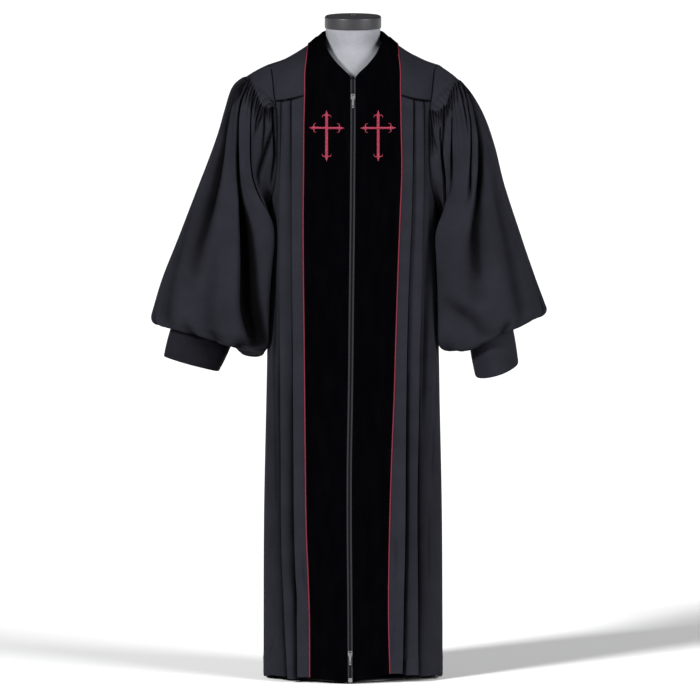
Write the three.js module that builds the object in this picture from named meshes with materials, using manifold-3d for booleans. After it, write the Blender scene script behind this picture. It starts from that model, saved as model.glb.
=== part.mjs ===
// Full-length clergy robe, worn by a limbless dress form on a weighted stand.
// Millimetres, +Z up, floor at z = 0, front faces -Y. Names ending in _r lie on the
// wearer's right (-X), names ending in _l on the wearer's left (+X).
// Cloth is a closed wall: an outer grid of points and an inner grid one cloth thickness behind it.
import * as THREE from 'three';
import { mergeVertices } from 'three/addons/utils/BufferGeometryUtils.js';
import Module from 'manifold-3d';

const wasm = await Module();
wasm.setup();

// ---------------------------------------------------------------- driving sizes
const HEM_Z = 4;            // hem above the floor
const CLOTH = 1.6;          // doubled robe cloth at folds and seams
const VELVET = 2.2;         // velvet pile with its backing
const CUFF_CLOTH = 2.4;     // interfaced cuff
const SEAM_GAP = 0.3;       // clear distance between sewn pieces
const RIDGE_GAP = 0.45;     // half the gap of a seam along the shoulder ridge
const PIPING_R = 1.2;       // piping cord radius
const ARCH_Z = 1262;        // above this height the cloth arches over the shoulders
const ARM_LOW_Z = 1024;     // underarm
const ARM_TOP_Z = 1335;     // shoulder point
const ARM_MID_Z = (ARM_LOW_Z + ARM_TOP_Z) / 2;
const ARM_HALF_Z = (ARM_TOP_Z - ARM_LOW_Z) / 2;
const ARM_FRONT_Y = 72;     // armhole half depth, front
const ARM_BACK_Y = 68;      // armhole half depth, back
const ARM_TOP_X = 189;
const SLEEVE_COLS = 40;
const CUFF_COLS = 26;
const YOKE_COL = 6;         // armhole column where the yoke seam ends
const V_LOW_Z = 1313;       // bottom of the neck V
const COLLAR_X = 66;        // collar top beside the neck
const COLLAR_Z = 1405;
const VELVET_LIFT = 0.9;    // the pile stands above the robe cloth
const TAPE_HALF = 6.4;      // zip centre to the velvet edge
const CHAIN_HALF = 1.75;    // half width of the closed zip chain
const CROSS_Z = 1208;       // height of the cross bars

// Body sections: half width, depth to the front and back, roundness exponent.
const BODY = [
  { z: 4, half: 194.5, front: 148, back: 150, power: 2.3 },
  { z: 340, half: 193.5, front: 143, back: 146, power: 2.3 },
  { z: 620, half: 188, front: 134, back: 138, power: 2.35 },
  { z: 740, half: 185.5, front: 130, back: 134, power: 2.4 },
  { z: 900, half: 184, front: 125, back: 128, power: 2.5 },
  { z: 1024, half: 183.5, front: 120, back: 123, power: 2.6 },
  { z: 1150, half: 187, front: 117, back: 119, power: 2.6 },
  { z: 1262, half: 190.5, front: 110, back: 112, power: 2.6 },
];

// Height of the shoulder ridge against distance from the middle.
const RIDGE = [
  { x: 0, z: 1440 },
  { x: 33, z: 1431 },
  { x: 66, z: 1405 },
  { x: 99, z: 1377 },
  { x: 143, z: 1350 },
  { x: 175, z: 1338 },
  { x: 196, z: 1332 },
];

// Front lines against height: the piping and the knife pleats either side, and the zip.
const LINES = [
  { z: 4, pipe_r: 94, pipe_l: 80, inner_r: 119, inner_l: 106, outer_r: 139, outer_l: 139, zip: -5.9 },
  { z: 165, pipe_r: 95, pipe_l: 77, inner_r: 121, inner_l: 109, outer_r: 147, outer_l: 138, zip: -6.8 },
  { z: 340, pipe_r: 101.5, pipe_l: 79.4, inner_r: 126, inner_l: 112, outer_r: 152, outer_l: 137, zip: -8.2 },
  { z: 480, pipe_r: 103.3, pipe_l: 83.4, inner_r: 127, inner_l: 113, outer_r: 153, outer_l: 138, zip: -8 },
  { z: 630, pipe_r: 104.8, pipe_l: 89.3, inner_r: 128, inner_l: 114, outer_r: 154, outer_l: 140, zip: -5.6 },
  { z: 750, pipe_r: 106, pipe_l: 92.8, inner_r: 128.5, inner_l: 116, outer_r: 155, outer_l: 142.4, zip: -4.3 },
  { z: 905, pipe_r: 107.6, pipe_l: 97.8, inner_r: 130.5, inner_l: 121, outer_r: 156, outer_l: 147, zip: -2.6 },
  { z: 1023, pipe_r: 108, pipe_l: 102.3, inner_r: 131.5, inner_l: 126, outer_r: 156, outer_l: 150, zip: -1.3 },
  { z: 1116, pipe_r: 107, pipe_l: 105.7, inner_r: 132, inner_l: 128.5, outer_r: 155, outer_l: 152, zip: -0.7 },
  { z: 1209, pipe_r: 106.5, pipe_l: 104.2, inner_r: 132.4, inner_l: 130, outer_r: 154, outer_l: 152.5, zip: 0 },
  { z: 1285, pipe_r: 104.8, pipe_l: 102.9, inner_r: 132.4, inner_l: 130, outer_r: 154, outer_l: 152, zip: 0 },
  { z: 1330, pipe_r: 104, pipe_l: 102.6, inner_r: 132, inner_l: 130, outer_r: 154, outer_l: 152, zip: 0 },
  { z: 1378, pipe_r: 97.5, pipe_l: 97.5, inner_r: 132, inner_l: 130, outer_r: 154, outer_l: 152, zip: 0 },
];

// Edge of the neck V against height.
const NECK_V = [
  { z: 1313, x: 1.2 },
  { z: 1325, x: 11 },
  { z: 1347, x: 34 },
  { z: 1368, x: 51 },
  { z: 1390, x: 62.5 },
  { z: 1405, x: 66 },
];

// Sleeve stations from the armhole seam (at 0) over the puff and its lip (at 10) to the cuff
// seam (at 14): outer and inner point of each ring, seen from the front, and its half depth.
const SLEEVE_R = [
  { at: 0, out_x: 189, out_z: 1335, in_x: 183, in_z: 1024, deep: 72 },
  { at: 1, out_x: 211, out_z: 1323, in_x: 190, in_z: 1018, deep: 78 },
  { at: 2, out_x: 232, out_z: 1308, in_x: 192.5, in_z: 1008, deep: 84 },
  { at: 3, out_x: 258, out_z: 1284, in_x: 193, in_z: 995, deep: 90 },
  { at: 4, out_x: 277, out_z: 1233, in_x: 193, in_z: 970, deep: 95 },
  { at: 5, out_x: 297, out_z: 1174, in_x: 192.5, in_z: 940, deep: 98 },
  { at: 6, out_x: 330, out_z: 1085, in_x: 192, in_z: 895, deep: 102 },
  { at: 7, out_x: 376, out_z: 963, in_x: 191, in_z: 835, deep: 104 },
  { at: 8, out_x: 411, out_z: 875, in_x: 190.5, in_z: 780, deep: 103 },
  { at: 9, out_x: 432, out_z: 808, in_x: 190, in_z: 740, deep: 98 },
  { at: 10, out_x: 438, out_z: 784, in_x: 191, in_z: 722, deep: 92 },
  { at: 11, out_x: 431, out_z: 771, in_x: 200, in_z: 711, deep: 84 },
  { at: 12, out_x: 413, out_z: 769, in_x: 224, in_z: 710, deep: 70 },
  { at: 13, out_x: 396, out_z: 774, in_x: 245, in_z: 720, deep: 55 },
  { at: 14, out_x: 388, out_z: 785, in_x: 256, in_z: 744, deep: 45 },
];
const SLEEVE_L = [
  { at: 0, out_x: 189, out_z: 1335, in_x: 183, in_z: 1024, deep: 72 },
  { at: 1, out_x: 208, out_z: 1320, in_x: 190, in_z: 1018, deep: 78 },
  { at: 2, out_x: 228, out_z: 1303, in_x: 193, in_z: 1008, deep: 84 },
  { at: 3, out_x: 259, out_z: 1266, in_x: 195, in_z: 995, deep: 90 },
  { at: 4, out_x: 286, out_z: 1218, in_x: 196.5, in_z: 970, deep: 95 },
  { at: 5, out_x: 307.5, out_z: 1155, in_x: 198, in_z: 940, deep: 98 },
  { at: 6, out_x: 328, out_z: 1070, in_x: 198, in_z: 895, deep: 102 },
  { at: 7, out_x: 363.5, out_z: 962, in_x: 197, in_z: 835, deep: 104 },
  { at: 8, out_x: 395.5, out_z: 870, in_x: 196, in_z: 780, deep: 103 },
  { at: 9, out_x: 415, out_z: 819, in_x: 195, in_z: 743, deep: 98 },
  { at: 10, out_x: 420, out_z: 801, in_x: 195, in_z: 727, deep: 92 },
  { at: 11, out_x: 410, out_z: 789, in_x: 202, in_z: 716, deep: 86 },
  { at: 12, out_x: 386, out_z: 783, in_x: 218, in_z: 714, deep: 74 },
  { at: 13, out_x: 355, out_z: 782, in_x: 238, in_z: 722, deep: 63 },
  { at: 14, out_x: 340, out_z: 792, in_x: 250, in_z: 748, deep: 56 },
];

// Where the lip of the puff hangs lower (or higher, when deep is negative), by angle.
const SAG_R = [
  { angle: 78, wide: 42, deep: -7 },
  { angle: 196, wide: 30, deep: 13 },
  { angle: 262, wide: 40, deep: 5 },
];
const SAG_L = [
  { angle: 118, wide: 30, deep: 11 },
  { angle: 205, wide: 34, deep: 6 },
  { angle: 268, wide: 36, deep: 7 },
];

// Where the puff swings in front of the body's side: station, angle, width and reach.
const HUG_R = [
  { at: 2.4, angle: 124, wide: 18, reach: 0 },
  { at: 3.6, angle: 126, wide: 19, reach: 20 },
  { at: 5, angle: 130, wide: 20, reach: 40 },
  { at: 6.5, angle: 134, wide: 18, reach: 37 },
  { at: 8, angle: 140, wide: 16, reach: 33 },
  { at: 9.5, angle: 142, wide: 17, reach: 32 },
  { at: 11, angle: 146, wide: 20, reach: 17 },
  { at: 12.6, angle: 150, wide: 22, reach: 0 },
];
const HUG_L = [
  { at: 2.6, angle: 124, wide: 18, reach: 0 },
  { at: 3.8, angle: 130, wide: 21, reach: 17 },
  { at: 5, angle: 131, wide: 19, reach: 36 },
  { at: 6, angle: 135, wide: 17, reach: 34 },
  { at: 8, angle: 140, wide: 16, reach: 33 },
  { at: 9.5, angle: 142, wide: 17, reach: 31 },
  { at: 11, angle: 146, wide: 20, reach: 16 },
  { at: 12.6, angle: 150, wide: 22, reach: 0 },
];

// Sleeve folds: a trough (or ridge, when deep is negative) from one station to another, at an
// angle round the sleeve (0 outside, 90 front, 180 by the body, 270 back) that drifts on its way.
const FOLDS_R = [
  { from: 2.6, to: 7.4, angle: 16, turn: 40, wide: 13, deep: 17 },
  { from: 1.7, to: 9.6, angle: 20, turn: 132, wide: 11, deep: 22 },
  { from: 1.2, to: 6.2, angle: 42, turn: 128, wide: 13, deep: 10 },
  { from: 4.2, to: 9.8, angle: 30, turn: 32, wide: 13, deep: -7 },
  { from: 5.6, to: 10.4, angle: 62, turn: 38, wide: 14, deep: 8 },
  { from: 6.8, to: 10.6, angle: 12, turn: 12, wide: 12, deep: 7 },
  { from: 8.2, to: 11, angle: 132, turn: 0, wide: 11, deep: -9 },
  { from: 1.6, to: 7, angle: -22, turn: -42, wide: 13, deep: 14 },
  { from: 1.7, to: 9.4, angle: -42, turn: -108, wide: 12, deep: 18 },
  { from: 3.6, to: 9.8, angle: -66, turn: -26, wide: 12, deep: 9 },
  { from: 6, to: 10.6, angle: -30, turn: -16, wide: 14, deep: 9 },
  { from: 4.4, to: 10.2, angle: -112, turn: -26, wide: 12, deep: 10 },
];
const FOLDS_L = [
  { from: 2.2, to: 7, angle: 22, turn: 66, wide: 12, deep: 14 },
  { from: 0.5, to: 6.4, angle: 62, turn: 118, wide: 13, deep: 11 },
  { from: 3.4, to: 8.6, angle: 96, turn: 40, wide: 12, deep: 8 },
  { from: 6.6, to: 10.4, angle: 128, turn: -22, wide: 14, deep: -10 },
  { from: 7.2, to: 10.8, angle: 98, turn: -16, wide: 11, deep: 9 },
  { from: 5.2, to: 10.4, angle: 34, turn: 24, wide: 14, deep: 7 },
  { from: 7, to: 10.8, angle: 10, turn: 6, wide: 11, deep: 6 },
  { from: 1.7, to: 7.2, angle: -20, turn: -48, wide: 13, deep: 14 },
  { from: 1.6, to: 9.2, angle: -46, turn: -100, wide: 12, deep: 17 },
  { from: 4, to: 10, angle: -60, turn: -30, wide: 12, deep: 9 },
  { from: 6.2, to: 10.6, angle: -24, turn: -20, wide: 14, deep: 8 },
  { from: 4.6, to: 10.2, angle: -118, turn: -22, wide: 12, deep: 10 },
];

// One side each: mirror sign, line columns, sleeve and fold tables, middle of its cross.
const RIGHT = { tag: 'r', sign: -1, pipe: 'pipe_r', inner: 'inner_r', outer: 'outer_r',
  sleeve: SLEEVE_R, sag: SAG_R, hug: HUG_R, folds: FOLDS_R, cross_x: 57 };
const LEFT = { tag: 'l', sign: 1, pipe: 'pipe_l', inner: 'inner_l', outer: 'outer_l',
  sleeve: SLEEVE_L, sag: SAG_L, hug: HUG_L, folds: FOLDS_L, cross_x: 54.5 };

// Cuff rings below the sleeve's last ring: shift of the outer and inner points to the open end.
const CUFF_END = {
  r: { out_x: 411, out_z: 700, in_x: 291, in_z: 667, deep: 47, dip: -1 },
  l: { out_x: 359, out_z: 686, in_x: 265, in_z: 658, deep: 57, dip: 10 },
};

// Dress form sections from its flat underside to the top of the neck.
const FORM = [
  { z: 716, half: 150, front: 98, back: 102 },
  { z: 722, half: 154, front: 101, back: 105 },
  { z: 790, half: 156, front: 102, back: 106 },
  { z: 870, half: 146, front: 96, back: 97 },
  { z: 950, half: 129, front: 86, back: 86 },
  { z: 1040, half: 142, front: 92, back: 91 },
  { z: 1140, half: 156, front: 98, back: 96 },
  { z: 1230, half: 160, front: 96, back: 95 },
  { z: 1290, half: 159, front: 88, back: 88 },
  { z: 1322, half: 150, front: 77, back: 78 },
  { z: 1340, half: 128, front: 70, back: 71 },
  { z: 1356, half: 96, front: 66, back: 65 },
  { z: 1372, half: 68, front: 61, back: 60 },
  { z: 1390, half: 59, front: 58.5, back: 58.5 },
  { z: 1415, half: 59.5, front: 59.5, back: 59.5 },
];
const CAP = { low_z: 1415.4, side_z: 1438, top_z: 1442, radius: 61.5, top_radius: 58.5 };
const POLE = { radius: 12, low_z: 8.4, top_z: 715.6 };
const BASE = { radius: 125, edge_radius: 121, thick: 8, edge: 5 };

// ---------------------------------------------------------------- small helpers
const RAD = Math.PI / 180;
const mix = (a, b, t) => a + (b - a) * t;
const clamp = (v, low, high) => Math.min(high, Math.max(low, v));
const smooth = (t) => {
  const c = clamp(t, 0, 1);
  return c * c * (3 - 2 * c);
};
const wrapped = (degrees) => ((((degrees + 180) % 360) + 360) % 360) - 180;
const spread = (count) => Array.from({ length: count + 1 }, (_, i) => i / count);

// Smooth curve through one named column of a table, against its key column.
function curve(table, key, column, t) {
  const last = table.length - 1;
  if (t <= table[0][key]) return table[0][column];
  if (t >= table[last][key]) return table[last][column];
  let i = 0;
  while (t > table[i + 1][key]) i += 1;
  const slope = (a, b) => (table[b][column] - table[a][column]) / (table[b][key] - table[a][key]);
  const start = slope(Math.max(i - 1, 0), i + 1);
  const end = slope(i, Math.min(i + 2, last));
  const step = table[i + 1][key] - table[i][key];
  const u = (t - table[i][key]) / step;
  const blend = u * u * (3 - 2 * u);
  return table[i][column] * (1 - blend) + table[i + 1][column] * blend
    + step * u * (1 - u) * (start * (1 - u) - end * u);
}

// Solve value(x) = target for a value that falls as x grows.
function bisect(value, target, low, high) {
  let a = low;
  let b = high;
  for (let i = 0; i < 40; i += 1) {
    const middle = (a + b) / 2;
    if (value(middle) > target) a = middle;
    else b = middle;
  }
  return (a + b) / 2;
}

// ---------------------------------------------------------------- the body's smooth surface
const bodyAt = (column, z) => curve(BODY, 'z', column, z);
const ridgeZ = (x) => curve(RIDGE, 'x', 'z', Math.abs(x));
const lineX = (column, z) => curve(LINES, 'z', column, z);

// Distance in front of (or behind) the middle plane, at a width and a height.
function depthAt(x, z, column) {
  const level = Math.min(z, ARCH_Z);
  const power = bodyAt('power', level);
  const share = Math.abs(x) / bodyAt('half', level);
  if (share >= 1) return 0;
  const deep = bodyAt(column, level) * (1 - share ** power) ** (1 / power);
  if (z <= ARCH_Z) return deep;
  const rise = (z - ARCH_Z) / (ridgeZ(x) - ARCH_Z);
  return rise >= 1 ? 0 : deep * Math.sqrt(1 - rise * rise);
}

// Point on a horizontal section at an angle from the middle line of the front or back.
function ringPoint(angle, z, column) {
  const power = bodyAt('power', z);
  const across = Math.abs(Math.sin(angle)) / bodyAt('half', z);
  const along = Math.abs(Math.cos(angle)) / bodyAt(column, z);
  const reach = (across ** power + along ** power) ** (-1 / power);
  const facing = column === 'front' ? -1 : 1;
  return new THREE.Vector3(reach * Math.sin(angle), facing * reach * Math.cos(angle), z);
}

// Point over the shoulder: climb runs from 0 at the arch level to 1 at the ridge.
function archPoint(x, climb, column) {
  const facing = column === 'front' ? -1 : 1;
  const z = ARCH_Z + (ridgeZ(x) - ARCH_Z) * Math.sin(climb * 90 * RAD);
  const y = facing * depthAt(x, ARCH_Z, column) * Math.cos(climb * 90 * RAD);
  return new THREE.Vector3(x, y, z);
}
const climbAt = (x, z) => Math.asin(clamp((z - ARCH_Z) / (ridgeZ(x) - ARCH_Z), 0, 1)) / (90 * RAD);

// Armhole edge at an angle round it: 0 at the shoulder point, 90 in front, 180 under the arm.
function armhole(angle) {
  const column = Math.sin(angle) >= 0 ? 'front' : 'back';
  const z = ARM_MID_Z + ARM_HALF_Z * Math.cos(angle);
  const share = Math.abs(Math.cos(angle)) ** 3;
  const widest = column === 'front' ? ARM_FRONT_Y : ARM_BACK_Y;
  const y = widest * Math.sqrt(Math.max(0, 1 - share));
  const limit = z > ARCH_Z ? 196 : bodyAt('half', z);
  const x = bisect((v) => depthAt(v, z, column), y, 100, limit);
  return new THREE.Vector3(x, column === 'front' ? -y : y, z);
}
const columnAngle = (i) => (i * 360 * RAD) / SLEEVE_COLS;
const HALF_COLS = SLEEVE_COLS / 2;
const EDGE = {
  front: Array.from({ length: HALF_COLS + 1 }, (_, i) => armhole(columnAngle(i))),
  back: Array.from({ length: HALF_COLS + 1 }, (_, i) => armhole(-columnAngle(i))),
};

// ---------------------------------------------------------------- cloth walls
function meshFrom(name, positions, triangles, material) {
  let volume = 0;
  const at = (i) => new THREE.Vector3().fromArray(positions, i * 3);
  for (let i = 0; i < triangles.length; i += 3) {
    const [a, b, c] = [at(triangles[i]), at(triangles[i + 1]), at(triangles[i + 2])];
    volume += a.dot(b.cross(c));
  }
  const faces = volume < 0 ? triangles.toReversed() : triangles;
  const geometry = new THREE.BufferGeometry();
  geometry.setAttribute('position', new THREE.Float32BufferAttribute(positions, 3));
  geometry.setIndex(faces);
  geometry.computeVertexNormals();
  const mesh = new THREE.Mesh(geometry, material);
  mesh.name = name;
  return mesh;
}

// A closed geometry as a solid that can be joined and cut.
function solidOf(geometry) {
  geometry.deleteAttribute('normal');
  geometry.deleteAttribute('uv');
  const { attributes, index } = mergeVertices(geometry);
  const vertProperties = new Float32Array(attributes.position.array);
  const triVerts = new Uint32Array(index.array);
  return new wasm.Manifold(new wasm.Mesh({ numProp: 3, vertProperties, triVerts }));
}

// Unit normals of a grid of points; across says that each row closes on itself.
function gridNormals(grid, across, sign) {
  const rows = grid.length;
  const columns = grid[0].length;
  return grid.map((row, i) => row.map((_, j) => {
    const left = across ? (j + columns - 1) % columns : Math.max(j - 1, 0);
    const right = across ? (j + 1) % columns : Math.min(j + 1, columns - 1);
    const along = grid[i][right].clone().sub(grid[i][left]);
    const down = grid[Math.min(i + 1, rows - 1)][j].clone().sub(grid[Math.max(i - 1, 0)][j]);
    return along.cross(down).normalize().multiplyScalar(sign);
  }));
}

// Closed cloth wall. base is a smooth grid, lift(i, j) how far a point stands off it. The inner
// face lies behind along the same smooth normals, further where a fold is steep, so that the
// cloth keeps its thickness and never crosses itself.
function clothWall({ name, base, lift, thick, across = false, sign = 1, material }) {
  const smoothNormals = gridNormals(base, across, sign);
  const outer = base.map((row, i) => row.map((p, j) => (
    p.clone().addScaledVector(smoothNormals[i][j], lift(i, j)))));
  const foldNormals = gridNormals(outer, across, sign);
  const inner = outer.map((row, i) => row.map((p, j) => {
    const lean = clamp(foldNormals[i][j].dot(smoothNormals[i][j]), 0.6, 1);
    return p.clone().addScaledVector(smoothNormals[i][j], -thick / lean);
  }));
  const rows = base.length;
  const columns = base[0].length;
  const half = rows * columns;
  const positions = [...outer.flat(), ...inner.flat()].flatMap((p) => p.toArray());
  const triangles = [];
  const quad = (a, b, c, d) => triangles.push(a, b, c, a, c, d);
  const index = (i, j) => i * columns + (j % columns);
  const steps = across ? columns : columns - 1;
  for (let i = 0; i < rows - 1; i += 1) {
    for (let j = 0; j < steps; j += 1) {
      const [a, b, c, d] = [index(i, j), index(i, j + 1), index(i + 1, j + 1), index(i + 1, j)];
      quad(a, b, c, d);
      quad(a + half, d + half, c + half, b + half);
    }
  }
  for (let j = 0; j < steps; j += 1) {
    quad(index(0, j + 1), index(0, j), index(0, j) + half, index(0, j + 1) + half);
    const [a, b] = [index(rows - 1, j), index(rows - 1, j + 1)];
    quad(a, b, b + half, a + half);
  }
  for (let i = 0; i < rows - 1 && !across; i += 1) {
    const [a, b] = [index(i, 0), index(i + 1, 0)];
    quad(a, b, b + half, a + half);
    const [c, d] = [index(i, columns - 1), index(i + 1, columns - 1)];
    quad(d, c, c + half, d + half);
  }
  return meshFrom(name, positions, triangles, material);
}

// Round cord along a path, closed by flat ends.
function cord(name, path, radius, material, sides = 6) {
  const positions = [];
  const triangles = [];
  path.forEach((p, i) => {
    const ahead = path[Math.min(i + 1, path.length - 1)];
    const along = ahead.clone().sub(path[Math.max(i - 1, 0)]).normalize();
    const side = new THREE.Vector3(0, 1, 0).cross(along).normalize();
    const up = along.clone().cross(side);
    for (let k = 0; k < sides; k += 1) {
      const turn = (k * 2 * Math.PI) / sides;
      const q = p.clone().addScaledVector(side, radius * Math.cos(turn));
      positions.push(...q.addScaledVector(up, radius * Math.sin(turn)).toArray());
    }
  });
  const corner = (i, k) => i * sides + (k % sides);
  for (let i = 0; i < path.length - 1; i += 1) {
    for (let k = 0; k < sides; k += 1) {
      const [a, b] = [corner(i, k), corner(i, k + 1)];
      triangles.push(a, b, b + sides, a, b + sides, a + sides);
    }
  }
  const last = path.length - 1;
  for (let k = 1; k < sides - 1; k += 1) {
    triangles.push(corner(0, 0), corner(0, k + 1), corner(0, k));
    triangles.push(corner(last, 0), corner(last, k), corner(last, k + 1));
  }
  return meshFrom(name, positions, triangles, material);
}

// ---------------------------------------------------------------- materials
const stuff = (color, roughness, metalness = 0) => (
  new THREE.MeshStandardMaterial({ color, roughness, metalness }));
const robeCloth = stuff(0x31313a, 0.8);
const velvetCloth = stuff(0x08080b, 0.95);
const pipingCloth = stuff(0x8f3f52, 0.6);
const crossThread = stuff(0xa03149, 0.45);
const tapeCloth = stuff(0x3a393f, 0.85);
const zipMetal = stuff(0xb9b9bd, 0.3, 1);
const formLinen = stuff(0xabadb2, 0.9);
const capPaint = stuff(0x524f58, 0.5);
const standMetal = stuff(0x3c3c40, 0.4, 0.8);

// ---------------------------------------------------------------- pleats and folds of the body
// Knife pleat: swells towards its fold edge and drops behind it.
function knifePleat(past, deep, swell) {
  if (past < -swell) return 0;
  if (past < -1.5) return deep * smooth((past + swell) / (swell - 1.5));
  if (past < 1.5) return mix(deep, -1.5, (past + 1.5) / 3);
  return -1.5 * (1 - smooth((past - 1.5) / 12));
}

// How far the front panel stands off its smooth form at a width and height.
function frontLift(side, x, z) {
  const settle = 1 - 0.55 * smooth((z - 1020) / 230);
  const inner = knifePleat(x - lineX(side.inner, z), 5.2 * settle, 18);
  const outer = knifePleat(x - lineX(side.outer, z), 5.8 * settle, 20);
  const hang = Math.sin((z / 310) + side.sign) * 1.2 * smooth((x - 150) / 30);
  return inner + outer + hang * smooth((1000 - z) / 200);
}

// Organ flutes of the back: round ridges that open out from the yoke to the hem.
const FLUTES = 10;
const FLUTE_SPAN = 66;     // degrees either side of the middle of the back
function backLift(degrees, z) {
  const place = ((degrees + FLUTE_SPAN) / (2 * FLUTE_SPAN)) * FLUTES;
  const fade = smooth((FLUTE_SPAN + 4 - Math.abs(degrees)) / 10);
  const open = mix(6.4, 3.6, smooth((z - 500) / 700));
  return fade * open * (0.5 - 0.5 * Math.cos(place * 2 * Math.PI)) - 1.5 * fade;
}

// ---------------------------------------------------------------- robe panels
// Rows from the hem up to the underarm, then one for each armhole column up to the yoke seam.
const SKIRT_Z = [4, 160, 330, 490, 640, 770, 880];
const PANEL_ROWS = SKIRT_Z.length + HALF_COLS - YOKE_COL + 1;

// Yoke seam: climb over the shoulder at the inner end and at the armhole, front and back.
const SEAM = {
  front: { x: 104, climb: climbAt(104, 1283) },
  back: { x: 0, climb: climbAt(0, 1270) },
};
function seamClimb(x, column, row) {
  const edge = EDGE[column][row];
  const outer = climbAt(edge.x, edge.z);
  const inner = mix(SEAM[column].climb, 1, (YOKE_COL - row) / YOKE_COL);
  return mix(inner, outer, clamp((x - SEAM[column].x) / (edge.x - SEAM[column].x), 0, 1));
}

// Edge of a body panel at a row: the side line below the arm, the armhole above it.
function panelEdge(row, column) {
  if (row < SKIRT_Z.length) {
    const z = SKIRT_Z[row];
    return new THREE.Vector3(bodyAt('half', z), 0, z);
  }
  return EDGE[column][HALF_COLS - (row - SKIRT_Z.length)];
}

// Height of a panel row at a width: level at the hem, along the yoke seam at the top.
function rowZ(row, x, column) {
  const edge = panelEdge(row, column);
  const seamEdge = EDGE[column][YOKE_COL];
  const climb = seamClimb(Math.min(x, seamEdge.x), column, YOKE_COL);
  const seamZ = archPoint(x, climb, column).z - SEAM_GAP / 2;
  const from = SKIRT_Z.length - 1;
  const share = (row - from) / (PANEL_ROWS - 1 - from);
  const inner = row <= from ? SKIRT_Z[row] : mix(SKIRT_Z[from], seamZ, share);
  const reach = clamp((x - SEAM[column].x) / (edge.x - SEAM[column].x), 0, 1);
  return mix(inner, edge.z - (row === PANEL_ROWS - 1 ? SEAM_GAP / 2 : 0), reach ** 2);
}

const surfacePoint = (x, z, column) => new THREE.Vector3(
  x, (column === 'front' ? -1 : 1) * depthAt(x, z, column), z);
const mirrored = (p, side) => new THREE.Vector3(side.sign * p.x, p.y, p.z);

// Evenly turned points between two widths of one row, on the body's surface.
function turnedPoint(from, to, share, z, column) {
  const start = Math.atan2(from, Math.max(depthAt(from, z, column), 0.01));
  const end = Math.atan2(to, Math.max(depthAt(to, z, column), 0.01));
  const angle = mix(start, end, share);
  if (z <= ARCH_Z) return ringPoint(angle, z, column);
  const x = bisect((v) => -Math.atan2(v, Math.max(depthAt(v, z, column), 0.01)), -angle, 0, 196);
  return surfacePoint(x, z, column);
}

// Front: from the piping over two knife pleats to the side seam.
function frontPanel(side) {
  const shares = spread(5);
  const base = [];
  const widths = [];
  for (let row = 0; row < PANEL_ROWS; row += 1) {
    const edge = panelEdge(row, 'front');
    const guess = rowZ(row, 120, 'front');
    const start = lineX(side.pipe, guess) + PIPING_R + 1.5 * SEAM_GAP;
    const inner = lineX(side.inner, guess);
    const outer = Math.min(lineX(side.outer, guess), edge.x - 7);
    const stops = [start, mix(start, inner, 0.45), inner - 8, inner - 1.5, inner + 1.5,
      mix(inner, outer, 0.5), outer - 1.5, outer + 1.5];
    const flat = stops.map((x) => surfacePoint(x, rowZ(row, x, 'front'), 'front'));
    const last = outer + 1.5;
    const end = row < SKIRT_Z.length ? edge.x : edge.x - SEAM_GAP / 2;
    const rest = shares.slice(1).map((share) => {
      const x = mix(last, end, share);
      const p = turnedPoint(last, end, share, rowZ(row, x, 'front'), 'front');
      return share === 1 ? surfacePoint(end, rowZ(row, edge.x, 'front'), 'front') : p;
    });
    rest[rest.length - 1].y -= row < SKIRT_Z.length ? SEAM_GAP / 2 : 0;
    base.push([...flat, ...rest].map((p) => mirrored(p, side)));
    widths.push([...flat, ...rest].map((p) => p.x));
  }
  const lift = (i, j) => {
    const atSeam = i === PANEL_ROWS - 1 || j === base[0].length - 1;
    return atSeam ? 0 : frontLift(side, widths[i][j], base[i][j].z);
  };
  return clothWall({ name: `robe_front_${side.tag}`, base, lift, thick: CLOTH,
    sign: side.sign, material: robeCloth });
}

// Back: one panel between the side seams, in organ flutes from the yoke.
function backPanel() {
  const columns = 3 * FLUTES;
  const base = [];
  for (let row = 0; row < PANEL_ROWS; row += 1) {
    const edge = panelEdge(row, 'back');
    const skirt = row < SKIRT_Z.length;
    const end = edge.x - (skirt ? 0 : SEAM_GAP / 2);
    base.push(spread(columns).map((t) => {
      const share = Math.abs(2 * t - 1);
      const sign = t < 0.5 ? -1 : 1;
      const z = rowZ(row, end * share, 'back');
      const p = turnedPoint(0, end, share, z, 'back');
      if (share === 1 && skirt) p.y = SEAM_GAP / 2;
      p.x *= sign;
      return p;
    }));
  }
  const lift = (i, j) => {
    const p = base[i][j];
    const edge = j === 0 || j === columns || i === PANEL_ROWS - 1;
    return edge ? 0 : backLift(Math.atan2(p.x, p.y) / RAD, p.z);
  };
  return clothWall({ name: 'robe_back', base, lift, thick: CLOTH, sign: -1, material: robeCloth });
}

// ---------------------------------------------------------------- yokes
// Width of the neckband's outer edge behind the shoulder, against the climb of the back yoke.
const NECK_OUT = { x: 97.5, z: 1371 };
const neckDip = (x) => NECK_OUT.z + (ridgeZ(NECK_OUT.x) - NECK_OUT.z) * (x / NECK_OUT.x) ** 2;

function yokeFront(side) {
  const base = [];
  for (let row = YOKE_COL; row >= 0; row -= 1) {
    const edge = EDGE.front[row];
    const seam = row === YOKE_COL;
    const ridge = row === 0;
    base.push(spread(6).map((share) => {
      const level = archPoint(104, seamClimb(104, 'front', row), 'front').z;
      const start = lineX(side.pipe, level) + PIPING_R + 2.5 * SEAM_GAP;
      const x = mix(start, edge.x - SEAM_GAP / 2, share);
      const climb = seamClimb(x, 'front', row);
      const p = archPoint(x, ridge ? 1 : climb, 'front');
      if (seam) p.z += SEAM_GAP;
      if (ridge) p.y -= RIDGE_GAP;
      return mirrored(p, side);
    }));
  }
  return clothWall({ name: `yoke_${side.tag}`, base, lift: () => 0, thick: CLOTH,
    sign: side.sign, material: robeCloth });
}

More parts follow.
